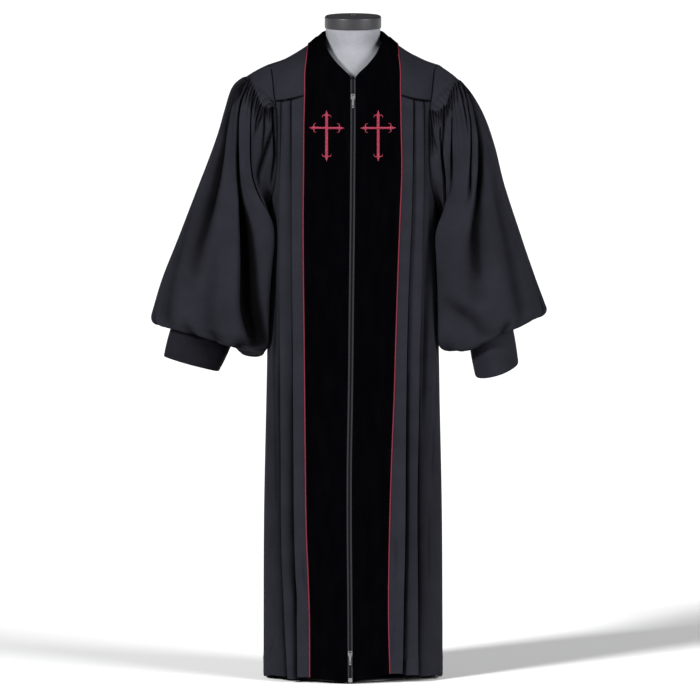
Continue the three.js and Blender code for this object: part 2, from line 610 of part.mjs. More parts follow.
function yokeBack() {
  const base = [];
  for (let row = YOKE_COL; row >= 0; row -= 1) {
    const edge = EDGE.back[row];
    base.push(spread(20).map((t) => {
      const share = Math.abs(2 * t - 1);
      const x = (edge.x - SEAM_GAP / 2) * share;
      const gap = PIPING_R + SEAM_GAP;
      const ridge = x < NECK_OUT.x ? climbAt(x, neckDip(x) - gap) : 1;
      const rise = (YOKE_COL - row) / YOKE_COL;
      const outer = climbAt(edge.x, edge.z);
      const climb = mix(mix(SEAM.back.climb, ridge, rise), row === 0 ? 1 : outer, share ** 3);
      const p = archPoint(x, row === 0 ? ridge : climb, 'back');
      if (row === YOKE_COL) p.z = archPoint(x, seamClimb(x, 'back', row), 'back').z + SEAM_GAP;
      if (row === 0 && x >= NECK_OUT.x) p.y += RIDGE_GAP;
      p.x *= t < 0.5 ? -1 : 1;
      return p;
    }));
  }
  return clothWall({ name: 'yoke_back', base, lift: () => 0, thick: CLOTH, sign: -1,
    material: robeCloth });
}

// ---------------------------------------------------------------- velvet, piping and zip
const VELVET_Z = [4, 80, 160, 245, 330, 410, 490, 565, 640, 705, 770, 825, 880, 960, 1040, 1120,
  1200, 1270, V_LOW_Z];
const V_STEPS = 5;

// Front band from the zip to the piping, then from the neck V to the piping, to the ridge.
function velvetFront(side) {
  const base = VELVET_Z.map((z) => {
    const start = side.sign * lineX('zip', z) + TAPE_HALF;
    const end = lineX(side.pipe, z) - PIPING_R - SEAM_GAP;
    return spread(4).map((t) => mirrored(surfacePoint(mix(start, end, t), z, 'front'), side));
  });
  for (let i = 1; i <= V_STEPS; i += 1) {
    const rise = Math.sin((i / V_STEPS) * 90 * RAD);
    const outZ = mix(V_LOW_Z, ridgeZ(96), rise);
    const inZ = mix(V_LOW_Z, COLLAR_Z, rise);
    const start = Math.max(curve(NECK_V, 'z', 'x', inZ), TAPE_HALF);
    const end = lineX(side.pipe, outZ) - PIPING_R - SEAM_GAP;
    base.push(spread(4).map((t) => {
      const x = mix(start, end, t);
      const z = i === V_STEPS ? ridgeZ(x) : mix(inZ, outZ, t);
      const p = surfacePoint(x, Math.min(z, ridgeZ(x)), 'front');
      if (i === V_STEPS) p.y = -RIDGE_GAP;
      return mirrored(p, side);
    }));
  }
  return clothWall({ name: `velvet_${side.tag}`, base, lift: () => VELVET_LIFT, thick: VELVET,
    sign: side.sign, material: velvetCloth });
}

// Neckline behind the shoulders, from one ridge (0) to the other (180 degrees): the piping's own
// line, and the neckband's top edge above it.
const NECK_STEPS = 18;
function neckLine(turn) {
  const x = NECK_OUT.x * Math.cos(turn);
  const z = neckDip(Math.abs(x));
  return new THREE.Vector3(x, Math.max(depthAt(x, Math.min(z, ridgeZ(x) - 0.01), 'back'), RIDGE_GAP), z);
}
function neckTop(turn) {
  const back = Math.sin(turn);
  return new THREE.Vector3(COLLAR_X * Math.cos(turn), RIDGE_GAP + 68 * back, COLLAR_Z + 3 * back);
}
function velvetNeck() {
  const base = spread(NECK_STEPS).map((t) => {
    const turn = t * Math.PI;
    const high = neckTop(turn);
    const low = neckLine(turn);
    low.addScaledVector(high.clone().sub(low).normalize(), PIPING_R + 2 * SEAM_GAP);
    return spread(4).map((s) => {
      const p = low.clone().lerp(high, s);
      const outward = new THREE.Vector3(Math.cos(turn), Math.sin(turn), 0.6).normalize();
      return p.addScaledVector(outward, -3 * Math.sin(s * Math.PI) * Math.sin(turn));
    });
  });
  return clothWall({ name: 'velvet_neck', base, lift: () => VELVET_LIFT, thick: VELVET,
    sign: -1, material: velvetCloth });
}

function pipingFront(side) {
  const path = [...VELVET_Z, 1335, 1352, 1366].map((z) => {
    const p = surfacePoint(lineX(side.pipe, z), z, 'front');
    p.y -= 0.4;
    return mirrored(p, side);
  });
  path[0].z = HEM_Z;
  const top = new THREE.Vector3(NECK_OUT.x, -SEAM_GAP / 2, ridgeZ(NECK_OUT.x) + 0.3);
  path.push(mirrored(top, side));
  return cord(`piping_${side.tag}`, path, PIPING_R, pipingCloth);
}
function pipingNeck() {
  const path = spread(NECK_STEPS).map((t) => neckLine(t * Math.PI));
  return cord('piping_neck', path, PIPING_R, pipingCloth);
}

// A strip beside the zip's middle line, from one offset to another.
function zipStrip(name, from, to, thick, sink, material) {
  const base = VELVET_Z.map((z) => [from, to].map((offset) => {
    const p = surfacePoint(lineX('zip', z) + offset, z, 'front');
    p.y += sink;
    return p;
  }));
  return clothWall({ name, base, lift: () => 0, thick, sign: 1, material });
}

// ---------------------------------------------------------------- embroidered crosses
const CROSS_THICK = 0.9;    // raised satin stitch
const ARM = { tip: 11.5, swell: 3 };
const HOOK = { radius: 4.2, half: 1, back: 14.5, sweep: 200, steps: 4 };

// One arm of the cross along +Y, from the middle: a bar that swells and ends in a point.
function armOutline(length, half) {
  const stops = [
    { y: 0, w: half },
    { y: (length - ARM.tip) / 2, w: half },
    { y: length - ARM.tip, w: half },
    { y: length - ARM.tip * 0.62, w: ARM.swell },
    { y: length, w: 0.25 },
  ];
  const right = stops.map((p) => [p.w, p.y]);
  const left = stops.map((p) => [-p.w, p.y]).toReversed();
  return [...right, ...left];
}

// Curled leaf beside an arm, thick in its middle and thin at its free end.
function hookOutline(length, flip) {
  const inner = [];
  const outer = [];
  for (let i = 0; i <= HOOK.steps; i += 1) {
    const share = i / HOOK.steps;
    const turn = (180 - share * HOOK.sweep) * RAD;
    const half = mix(HOOK.half * 1.5, HOOK.half * 0.45, share);
    const middle = [HOOK.radius + 1.2, length - HOOK.back];
    const spot = (r) => [flip * (middle[0] + r * Math.cos(turn)), middle[1] + r * Math.sin(turn)];
    outer.push(spot(HOOK.radius + half));
    inner.push(spot(HOOK.radius - half));
  }
  const ring = [...outer, ...inner.toReversed()];
  return flip > 0 ? ring.toReversed() : ring;
}

// Arms: length from the crossing and direction.
const CROSS_ARMS = [
  { length: 38, half: 3, turn: 0 },
  { length: 72, half: 3, turn: 180 },
  { length: 38, half: 2.2, turn: 90 },
  { length: 38, half: 2.2, turn: -90 },
];
function embroideredCross(side) {
  const pieces = CROSS_ARMS.flatMap(({ length, half, turn }) => {
    const outlines = [armOutline(length, half), hookOutline(length, 1), hookOutline(length, -1)];
    return outlines.map((points) => {
      const shape = new THREE.Shape(points.map(([a, b]) => new THREE.Vector2(a, b)));
      const options = { depth: CROSS_THICK, bevelEnabled: false };
      return solidOf(new THREE.ExtrudeGeometry(shape, options).rotateZ(turn * RAD));
    });
  });
  const mesh = pieces.reduce((whole, piece) => whole.add(piece)).getMesh();
  const positions = [];
  for (let i = 0; i < mesh.numVert; i += 1) {
    const [a, b, h] = mesh.vertProperties.slice(i * 3, i * 3 + 3);
    const [x, z] = [side.cross_x + a, CROSS_Z + b];
    const p = surfacePoint(x, z, 'front');
    const slope = depthAt(x + 0.5, z, 'front') - depthAt(x - 0.5, z, 'front');
    const normal = new THREE.Vector3(-slope, -1, 0).normalize();
    p.addScaledVector(normal, VELVET_LIFT + SEAM_GAP + 0.2 + h);
    positions.push(side.sign * p.x, p.y, p.z);
  }
  return meshFrom(`cross_${side.tag}`, positions, [...mesh.triVerts], crossThread);
}

// ---------------------------------------------------------------- sleeves and cuffs
// Smooth sleeve: the armhole's own curve at the seam, full rings further out.
function sleevePoint(side, at, angle) {
  const ring = (column) => curve(side.sleeve, 'at', column, at);
  const cos = Math.cos(angle);
  const x = mix(ring('in_x'), ring('out_x'), (1 + cos) / 2);
  const z = mix(ring('in_z'), ring('out_z'), (1 + cos) / 2);
  const p = new THREE.Vector3(x, -ring('deep') * Math.sin(angle), z);
  for (const sag of side.sag) {
    const off = wrapped(angle / RAD - sag.angle) / sag.wide;
    p.z -= sag.deep * Math.exp(-off * off) * smooth((at - 8) / 2.5) * smooth((14 - at) / 1.5);
  }
  const hug = (column) => curve(side.hug, 'at', column, at);
  const past = wrapped(angle / RAD - hug('angle')) / hug('wide');
  p.x -= hug('reach') * Math.exp(-past * past);
  if (at < 2.5) {
    const seam = armhole(angle);
    seam.x += SEAM_GAP;
    p.lerpVectors(seam, p, 1 - (1 - at / 2.5) ** 2);
  }
  return p;
}

// Gather line of the sleeve head: furthest from the seam at the shoulder.
const gatherStation = (angle) => 2 * Math.cos(clamp(angle, -60 * RAD, 60 * RAD) * 1.5);

function sleeveLift(side, at, angle, column) {
  const degrees = wrapped(angle / RAD);
  let lift = 0;
  for (const fold of side.folds) {
    const share = (at - fold.from) / (fold.to - fold.from);
    if (share <= 0 || share >= 1) continue;
    const off = wrapped(degrees - (fold.angle + fold.turn * share)) / fold.wide;
    const open = Math.sin(Math.PI * share ** 0.8) ** 0.7;
    lift -= fold.deep * open * Math.exp(-off * off);
  }
  const past = at - gatherStation(wrapped(degrees) * RAD);
  const puff = Math.abs(degrees) < 75 ? 1 : 0;
  const flute = column % 2 ? 1 : -1;
  lift += puff * flute * 1.6 * Math.exp(-((past - 0.4) ** 2) * 5);
  lift += flute * 2 * Math.exp(-((at - 12.6) ** 2) * 1.2);
  return at > 0 && at < 14 ? lift : 0;
}

const SLEEVE_ROWS = [0, 0.8, 1.6, 2.4, 3.3, 4.2, 5.1, 6, 6.9, 7.8, 8.7, 9.5, 10.3, 11.2, 12.4, 13.3,
  14];
function sleeve(side) {
  const base = SLEEVE_ROWS.map((at) => Array.from({ length: SLEEVE_COLS }, (_, j) => (
    mirrored(sleevePoint(side, at, columnAngle(j)), side))));
  const lift = (i, j) => sleeveLift(side, SLEEVE_ROWS[i], columnAngle(j), j);
  return clothWall({ name: `sleeve_${side.tag}`, base, lift, thick: CLOTH, across: true,
    sign: side.sign, material: robeCloth });
}

function cuff(side) {
  const end = CUFF_END[side.tag];
  const start = side.sleeve[side.sleeve.length - 1];
  const base = spread(3).map((t) => Array.from({ length: CUFF_COLS }, (_, j) => {
    const angle = (j * 2 * Math.PI) / CUFF_COLS;
    const cos = (1 + Math.cos(angle)) / 2;
    const top = new THREE.Vector3(mix(start.in_x, start.out_x, cos), -start.deep * Math.sin(angle),
      mix(start.in_z, start.out_z, cos) - SEAM_GAP - 0.3);
    const low = new THREE.Vector3(mix(end.in_x, end.out_x, cos), -end.deep * Math.sin(angle),
      mix(end.in_z, end.out_z, cos) - end.dip * Math.sin(angle));
    return mirrored(top.lerp(low, t), side);
  }));
  return clothWall({ name: `cuff_${side.tag}`, base, lift: () => 0, thick: CUFF_CLOTH,
    across: true, sign: side.sign, material: robeCloth });
}

// ---------------------------------------------------------------- zip sliders
const block = (width, deep, height, x, y, z) => solidOf(
  new THREE.BoxGeometry(width, deep, height).translate(x, y, z));
const barAcross = (radius, length, x, y, z) => solidOf(
  new THREE.CylinderGeometry(radius, radius, length, 12).rotateZ(90 * RAD).translate(x, y, z));

function fromManifold(name, solid, material) {
  const mesh = solid.getMesh();
  return meshFrom(name, [...mesh.vertProperties], [...mesh.triVerts], material);
}

// Slider body on the chain with two lugs and a pin; the pull tab hangs from the pin.
const SLIDER = { width: 9, deep: 3, height: 12, lug: 1, lug_x: 3, pin: 0.9, reach: 2.7 };
const PULL = { width: 4.4, thick: 1.2, length: 26, eye: 2, hole: 1.3 };
function sliderAt(tag, z) {
  const x = lineX('zip', z);
  const face = -depthAt(x, z, 'front') - SEAM_GAP - 0.2;
  const pinY = face - SLIDER.deep - SLIDER.reach;
  const lugDeep = SLIDER.reach + 1.2;
  let body = block(SLIDER.width, SLIDER.deep, SLIDER.height, x, face - SLIDER.deep / 2, z);
  for (const sign of [-1, 1]) {
    body = body.add(block(SLIDER.lug, lugDeep, 4, x + sign * SLIDER.lug_x,
      face - SLIDER.deep - lugDeep / 2 + 0.1, z + 2));
  }
  body = body.add(barAcross(SLIDER.pin, SLIDER.lug_x * 2, x, pinY, z + 2));
  const plate = block(PULL.width, PULL.thick, PULL.length, x, pinY, z + 2 - PULL.length / 2);
  const pull = plate.add(barAcross(PULL.eye, PULL.width, x, pinY, z + 2))
    .subtract(barAcross(PULL.hole, PULL.width + 1, x, pinY, z + 2))
    .subtract(block(PULL.width - 2.4, PULL.thick + 1, 4, x, pinY, z + 6 - PULL.length));
  return [
    fromManifold(`zip_slider_${tag}`, body, zipMetal),
    fromManifold(`zip_pull_${tag}`, pull, zipMetal),
  ];
}
function zipBox() {
  const x = lineX('zip', HEM_Z);
  const y = -depthAt(x, HEM_Z, 'front') - SEAM_GAP - 1.2;
  return fromManifold('zip_box', block(8.4, 2, 9, x, y, HEM_Z + 5), zipMetal);
}

// ---------------------------------------------------------------- dress form and stand
function formTorso() {
  const columns = 22;
  const positions = [];
  const triangles = [];
  for (const ring of FORM) {
    for (let j = 0; j < columns; j += 1) {
      const angle = (j * 2 * Math.PI) / columns;
      const deep = Math.cos(angle) > 0 ? ring.front : ring.back;
      positions.push(ring.half * Math.sin(angle), -deep * Math.cos(angle), ring.z);
    }
  }
  for (let i = 0; i < FORM.length - 1; i += 1) {
    for (let j = 0; j < columns; j += 1) {
      const [a, b] = [i * columns + j, i * columns + ((j + 1) % columns)];
      triangles.push(a, b, b + columns, a, b + columns, a + columns);
    }
  }
  const top = (FORM.length - 1) * columns;
  for (let j = 1; j < columns - 1; j += 1) {
    triangles.push(0, j + 1, j);
    triangles.push(top, top + j, top + j + 1);
  }
  return meshFrom('form_torso', positions, triangles, formLinen);
}

function turned(name, profile, sides, material) {
  const points = profile.map(([r, z]) => new THREE.Vector2(r, z));
  const geometry = new THREE.LatheGeometry(points, sides).rotateX(90 * RAD);
  const mesh = new THREE.Mesh(geometry, material);
  mesh.name = name;
  return mesh;
}
const formCap = () => turned('form_cap', [[0, CAP.low_z], [CAP.radius - 0.8, CAP.low_z],
  [CAP.radius, CAP.low_z + 2], [CAP.radius, CAP.side_z], [CAP.radius - 1, CAP.side_z + 2.4],
  [CAP.top_radius, CAP.top_z], [0, CAP.top_z]], 24, capPaint);
const capStud = () => turned('form_cap_stud', [[0, CAP.top_z + 0.3], [9, CAP.top_z + 0.3],
  [9, CAP.top_z + 2.2], [7, CAP.top_z + 3.4], [0, CAP.top_z + 3.4]], 14, standMetal);
const standPole = () => turned('stand_pole', [[0, POLE.low_z], [POLE.radius, POLE.low_z],
  [POLE.radius, POLE.top_z], [0, POLE.top_z]], 20, standMetal);
const standBase = () => turned('stand_base', [[0, 0], [BASE.edge_radius, 0], [BASE.radius, 2],
  [BASE.radius, BASE.edge], [BASE.edge_radius, BASE.thick], [0, BASE.thick]], 36, standMetal);

// ---------------------------------------------------------------- the whole part
const part = new THREE.Group();
for (const side of [RIGHT, LEFT]) {
  part.add(frontPanel(side), yokeFront(side), velvetFront(side), pipingFront(side));
  part.add(embroideredCross(side), sleeve(side), cuff(side));
}
part.add(backPanel(), yokeBack(), velvetNeck(), pipingNeck());
part.add(zipStrip('zip_tape_r', -TAPE_HALF + SEAM_GAP, -CHAIN_HALF - SEAM_GAP, 1.2, 0.4, tapeCloth));
part.add(zipStrip('zip_tape_l', CHAIN_HALF + SEAM_GAP, TAPE_HALF - SEAM_GAP, 1.2, 0.4, tapeCloth));
part.add(zipStrip('zip_chain', -CHAIN_HALF, CHAIN_HALF, 1.8, 0, zipMetal));
part.add(...sliderAt('top', 1276), ...sliderAt('low', 67), zipBox());
part.add(formTorso(), formCap(), capStud(), standPole(), standBase());
export default part;
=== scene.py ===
"""Full-length clergy robe on a dress form: cloth, velvet, piping, embroidery, zip and form at fine detail."""

import math
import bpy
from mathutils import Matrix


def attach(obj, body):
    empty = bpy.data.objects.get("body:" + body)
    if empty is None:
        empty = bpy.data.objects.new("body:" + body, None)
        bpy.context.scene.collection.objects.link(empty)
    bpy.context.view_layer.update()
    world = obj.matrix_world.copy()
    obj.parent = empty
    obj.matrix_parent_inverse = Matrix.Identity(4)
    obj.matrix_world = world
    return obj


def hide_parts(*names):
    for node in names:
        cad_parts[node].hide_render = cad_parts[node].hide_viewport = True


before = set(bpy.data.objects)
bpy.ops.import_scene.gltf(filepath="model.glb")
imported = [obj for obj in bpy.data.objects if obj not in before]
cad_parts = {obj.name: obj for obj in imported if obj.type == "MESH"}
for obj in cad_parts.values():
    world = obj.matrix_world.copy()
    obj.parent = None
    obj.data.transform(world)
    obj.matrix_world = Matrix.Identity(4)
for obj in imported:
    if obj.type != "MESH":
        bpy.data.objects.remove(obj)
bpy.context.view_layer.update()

from types import SimpleNamespace

import bpy
import numpy as np
from mathutils import Vector

# ------------------------------------------------------------------ sizes, in millimetres
HEM_Z = 4
RISE_Z = 880  # rows of the body panels start to rise toward the armhole here
ARCH_Z = 1262  # the body arches over to the ridge of the shoulders from here on
RIDGE_END = 196
ARM_LOW_Z, ARM_TOP_Z = 1024, 1335
ARM_FRONT_Y, ARM_BACK_Y, ARM_IN_X = 72, 68, 100
V_LOW_Z = 1313
COLLAR_X, COLLAR_Z, BAND_TOP_X = 66, 1405, 96
CROSS_Z = 1208
CLOTH, VELVET, CUFF_CLOTH = 1.5, 2.2, 2.3
VELVET_LIFT = 0.9
SEAM_GAP, RIDGE_GAP = 0.1, 0.1
PIPING_R = 1.25
TAPE_HALF, CHAIN_HALF = 5.6, 1.75
HEM_BAND, VELVET_HEM = 46, 44
UPPER_TALL = 254  # of the body panels, underarm to yoke seam
YOKE_LONG, YOKE_HALF, YOKE_BACK_HALF = 112, 88, 190  # seam to ridge, and across front half and back half
YOKE_ANGLE = 57.9  # degrees round the armhole from the ridge to the yoke seam
FRONT_STEP, BACK_STEP, TUCK_PITCH = 0.36, 0.9, 2.2  # degrees, of a sleeve head's columns and tucks
BACK_SEED = 31
FOLD_START, FOLD_FADE = 1.6, 5  # depth at which a fold starts to shade, and over which it darkens
MM = 0.001
SEEN_FROM = math.radians(6)
SHARP = math.radians(48)
FACING = {"front": -1, "back": 1}


def table(names, rows):
    return dict(zip(names.split(), np.array(rows, float).T))


# The body by height: half width, depth in front and behind, and how square its outline is.
BODY = table("z half front back power", [
    (4, 194.5, 148, 150, 2.3), (340, 193.5, 143, 146, 2.3), (620, 188, 134, 138, 2.35),
    (740, 185.5, 130, 134, 2.4), (900, 184, 125, 128, 2.5), (1024, 183.5, 120, 123, 2.6),
    (1150, 187, 117, 119, 2.6), (1262, 190.5, 110, 112, 2.6)])
# Ridge of the shoulders by width.
RIDGE = table("x z", [(0, 1440), (33, 1431), (66, 1405), (99, 1377), (143, 1350), (175, 1338), (196, 1332)])
# Widths of the lines down the fronts by height: piping, both pleats of each side, and zip.
LINES = table("z pipe_r pipe_l inner_r inner_l outer_r outer_l zip", [
    (4, 94, 80, 119, 106, 139, 139, -5.9), (165, 95, 77, 121, 109, 147, 138, -6.8),
    (340, 101.5, 79.4, 126, 112, 152, 137, -8.2), (480, 103.3, 83.4, 127, 113, 153, 138, -8),
    (630, 104.8, 89.3, 128, 114, 154, 140, -5.6), (750, 106, 92.8, 128.5, 116, 155, 142.4, -4.3),
    (905, 107.6, 97.8, 130.5, 121, 156, 147, -2.6), (1023, 108, 102.3, 131.5, 126, 156, 150, -1.3),
    (1116, 107, 105.7, 132, 128.5, 155, 152, -0.7), (1209, 106.5, 104.2, 132.4, 130, 154, 152.5, 0),
    (1285, 104.8, 102.9, 132.4, 130, 154, 152, 0), (1330, 104, 102.6, 132, 130, 154, 152, 0),
    (1378, 97.5, 97.5, 132, 130, 154, 152, 0)])
# Edge of the neck's V.
NECK_V = table("z x", [(1313, 1.2), (1325, 11), (1347, 34), (1368, 51), (1390, 62.5), (1405, 66)])
# Rings of the sleeves, station by station: outer and inner point, and depth.
SLEEVE_NAMES = "at out_x out_z in_x in_z deep"
SLEEVE_R = table(SLEEVE_NAMES, [
    (0, 189, 1335, 183, 1024, 72), (1, 211, 1323, 190, 1018, 78), (2, 232, 1308, 192.5, 1008, 84),
    (3, 258, 1284, 193, 995, 90), (4, 277, 1233, 193, 970, 95), (5, 297, 1174, 192.5, 940, 98),
    (6, 330, 1085, 192, 895, 102), (7, 376, 963, 191, 835, 104), (8, 411, 875, 190.5, 780, 103),
    (9, 432, 808, 190, 740, 98), (10, 438, 784, 191, 722, 92), (11, 431, 771, 200, 711, 84),
    (12, 413, 769, 224, 710, 70), (13, 396, 774, 245, 720, 55), (14, 388, 785, 256, 744, 45)])
SLEEVE_L = table(SLEEVE_NAMES, [
    (0, 189, 1335, 183, 1024, 72), (1, 208, 1320, 190, 1018, 78), (2, 228, 1303, 193, 1008, 84),
    (3, 259, 1266, 195, 995, 90), (4, 286, 1218, 196.5, 970, 95), (5, 307.5, 1155, 198, 940, 98),
    (6, 328, 1070, 198, 895, 102), (7, 363.5, 962, 197, 835, 104), (8, 395.5, 870, 196, 780, 103),
    (9, 415, 819, 195, 743, 98), (10, 420, 801, 195, 727, 92), (11, 410, 789, 202, 716, 86),
    (12, 386, 783, 218, 714, 74), (13, 355, 782, 238, 722, 63), (14, 340, 792, 250, 748, 56)])
# Lip of the puff: angle, width, depth of each place where it hangs lower.
SAG_R = [(78, 42, -7), (196, 30, 13), (262, 40, 5)]
SAG_L = [(118, 30, 11), (205, 34, 6), (268, 36, 7)]
# Where the puff swings in front of the body's side: station, angle, width and reach.
HUG_R = table("at angle wide reach", [
    (2.4, 124, 18, 0), (3.6, 126, 19, 20), (5, 130, 20, 40), (6.5, 134, 18, 37),
    (8, 140, 16, 33), (9.5, 142, 17, 32), (11, 146, 20, 17), (12.6, 150, 22, 0)])
HUG_L = table("at angle wide reach", [
    (2.6, 124, 18, 0), (3.8, 130, 21, 17), (5, 131, 19, 36), (6, 135, 17, 34),
    (8, 140, 16, 33), (9.5, 142, 17, 31), (11, 146, 20, 16), (12.6, 150, 22, 0)])
# The sleeve's columns run the way its gathers hang: angle of each guide column at each station.
FLOW = table("at c13 c23 c37 c64 c100", [
    (0, 13, 23, 37, 64, 100), (1.7, 13, 25, 46, 75, 108), (2.5, 16, 38, 80, 104, 126),
    (3.5, 19, 59, 106, 128, 145), (4.5, 34, 77, 122, 143, 157), (5.5, 44, 95, 132, 150, 163),
    (6.5, 47, 104, 136, 153, 166), (8, 46, 98, 130, 150, 164), (10, 42, 78, 108, 138, 156),
    (14, 40, 62, 88, 120, 148)])
# Main sleeve folds, each a valley followed from its head: station, angle, depth, and how wide it is on
# its lower- and higher-angle sides.
FOLD_NAMES = "at angle deep before after"
FOLDS_R = [table(FOLD_NAMES, rows) for rows in (
    [(1.7, 11, 5, 4, 4), (2.2, 14, 10, 5.5, 5.5), (2.8, 17, 13, 7, 6), (3.5, 22, 15, 9, 6),
     (4.3, 32, 20, 12, 6), (5, 43, 17, 13, 6), (5.8, 50, 12, 14, 8), (6.8, 55, 5, 15, 10),
     (7.6, 59, 1.5, 15, 10), (8.2, 61, 0, 15, 10)],
    [(1.65, 23, 3, 2, 2), (2.65, 40, 9, 2.4, 3), (3.65, 61, 18, 3.4, 4.6), (4.55, 77, 30, 4.2, 7),
     (5.3, 95, 36, 4.6, 9), (6.45, 111, 40, 4.8, 9), (7.7, 121, 42, 5.2, 10), (8.8, 129, 38, 6, 11),
     (10, 134, 22, 7, 10), (11, 136, 6, 7, 8)],
    [(1.45, 37, 3, 2, 2), (1.95, 56, 8, 2.2, 2.4), (2.4, 79, 11, 2.4, 3), (3.5, 107, 14, 2.6, 5),
     (4.45, 130, 12, 3, 6), (5.2, 146, 5, 4, 6)],
    [(0.7, 60, 3, 2, 2), (1.3, 68, 6, 2.6, 2.4), (1.8, 76, 3, 3, 3), (2.3, 80, 0, 3, 3)],
    [(0.15, 72, 2, 3, 3), (0.65, 88, 7, 5, 4), (1.3, 102, 8, 6, 5), (2.4, 116, 5, 7, 6), (3.2, 124, 0, 7, 6)],
    [(5.2, 8, 0, 7, 7), (6.6, 22, 2, 9, 8), (8.2, 34, 3, 10, 9), (9.6, 44, 3, 9, 9), (10.8, 50, 0, 8, 8)],
    [(6.2, 76, 0, 9, 9), (7.6, 84, 2, 10, 9), (9.2, 92, 3, 9, 8), (10.6, 98, 5, 7, 7), (11.6, 100, 0, 6, 6)],
    [(8.8, 64, 0, 5, 5), (10.2, 70, 3.5, 6, 6), (11.4, 74, 5, 5, 5), (12.2, 76, 0, 4, 4)],
    [(8.6, 14, 0, 6, 6), (9.8, 16, 3, 7, 6), (11.2, 19, 6, 5, 5), (12.2, 20, 0, 4, 4)],
    [(8.9, 118, 0, 6, 6), (10.1, 122, 4, 6, 6), (11.3, 124, 7, 5, 5), (12.3, 125, 0, 4, 4)],
    [(1.9, -14, 3, 2, 3), (3, -24, 12, 3, 6), (4.6, -40, 20, 3, 12), (6.4, -54, 15, 5, 15),
     (8, -62, 0, 8, 14)],
    [(1.5, -34, 3, 2, 2), (2.6, -58, 12, 4, 3), (4.4, -88, 25, 8, 3), (6.4, -116, 30, 11, 4),
     (8.4, -138, 26, 12, 6), (10, -148, 12, 10, 8), (11, -150, 0, 9, 9)],
    [(0.9, -56, 3, 2, 2), (1.9, -78, 9, 3, 3), (3.4, -108, 12, 5, 4), (4.8, -134, 0, 6, 5)],
    [(4.8, -84, 0, 8, 8), (6.8, -94, 6, 9, 9), (9, -104, 10, 8, 8), (11, -110, 4, 6, 6), (12, -112, 0, 6, 6)],
    [(6.6, -28, 0, 8, 8), (8.4, -36, 6, 9, 9), (10.4, -42, 9, 7, 7), (12, -46, 0, 5, 5)],
    [(8.8, -78, 0, 5, 5), (10.4, -82, 8, 6, 6), (12, -84, 0, 4, 4)],
    [(8.4, 172, 0, 7, 7), (9.8, 176, 9, 8, 7), (11.4, 178, 8, 5, 5), (12.4, 180, 0, 4, 4)])]
FOLDS_L = [table(FOLD_NAMES, rows) for rows in (
    [(1.95, 20, 3, 2, 2), (2.5, 37, 7, 2.4, 2.4), (3, 52, 3, 3, 3), (3.6, 60, 0, 3, 3)],
    [(2.05, 6, 3, 2, 2), (2.5, 22, 8, 2, 2.4), (3.3, 48, 13, 2.4, 3), (4.2, 74, 12, 3, 5),
     (5.2, 92, 0, 5, 7)],
    [(2.2, -2, 3, 2, 2), (2.65, 14, 8, 3, 2.4), (3.65, 38, 17, 7, 4), (4.6, 57, 20, 12, 6),
     (5.4, 77, 14, 15, 9), (6.3, 96, 8, 18, 12), (7.2, 104, 3, 18, 12), (8, 108, 0, 18, 12)],
    [(0.9, 58, 3, 2, 2), (1, 72, 9, 3, 3), (1.1, 90, 17, 4, 4), (1.6, 112, 22, 5, 5), (2.5, 142, 20, 7, 6),
     (3.6, 158, 10, 8, 7), (4.6, 166, 0, 8, 7)],
    [(1.75, 38, 3, 2, 2), (1.86, 52, 5, 2.4, 3), (1.98, 68, 8, 3, 5), (2.2, 88, 9, 4, 8), (2.7, 108, 6, 5, 9),
     (3.5, 122, 0, 6, 9)],
    [(0.3, 64, 2, 2, 2), (0.35, 78, 5, 2.4, 2.4), (0.6, 92, 4, 3, 3), (1, 100, 0, 3, 3)],
    [(3.1, 160, 4, 6, 5), (3.6, 152, 14, 7, 6), (4.2, 146, 12, 6, 6), (4.8, 142, 0, 6, 6)],
    [(5.4, 124, 0, 9, 9), (6.8, 140, 2, 9, 9), (7.6, 128, 4, 9, 7), (8.5, 112, 4, 9, 7), (9.6, 102, 2, 8, 7),
     (10.4, 98, 0, 7, 7)],
    [(4.8, 30, 0, 10, 8), (6.4, 44, 3, 12, 9), (8.4, 56, 3.5, 11, 9), (10.2, 62, 2, 8, 8),
     (11.2, 64, 0, 7, 7)],
    [(6.8, 10, 0, 7, 7), (8.6, 14, 3, 8, 8), (10.4, 18, 4, 6, 6), (12, 20, 0, 4, 4)],
    [(8.8, 74, 0, 6, 6), (10.2, 78, 4, 6, 6), (11.6, 80, 5, 5, 5), (12.4, 82, 0, 4, 4)],
    [(8.8, 134, 0, 6, 6), (10.2, 138, 4, 6, 6), (11.6, 140, 6, 5, 5), (12.4, 141, 0, 4, 4)],
    [(8.2, -174, 0, 7, 7), (9.8, -176, 9, 8, 7), (11.4, -178, 8, 5, 5), (12.4, -179, 0, 4, 4)],
    [(2, -16, 3, 2, 3), (3.1, -28, 12, 3, 6), (4.8, -46, 19, 3, 12), (6.6, -60, 13, 5, 14),
     (8.2, -66, 0, 8, 14)],
    [(1.5, -36, 3, 2, 2), (2.7, -62, 12, 4, 3), (4.6, -92, 24, 8, 3), (6.6, -118, 28, 11, 4),
     (8.6, -140, 24, 12, 6), (10.2, -150, 10, 10, 8), (11.2, -152, 0, 9, 9)],
    [(0.9, -58, 3, 2, 2), (2, -82, 9, 3, 3), (3.6, -112, 11, 5, 4), (5, -136, 0, 6, 5)],
    [(5, -82, 0, 8, 8), (7, -90, 6, 9, 9), (9.2, -98, 9, 8, 8), (11.2, -104, 0, 6, 6)],
    [(6.8, -26, 0, 8, 8), (8.6, -34, 6, 9, 9), (10.6, -40, 8, 7, 7), (12.2, -44, 0, 5, 5)],
    [(9, -122, 0, 5, 5), (10.6, -126, 8, 6, 6), (12.2, -128, 0, 4, 4)])]
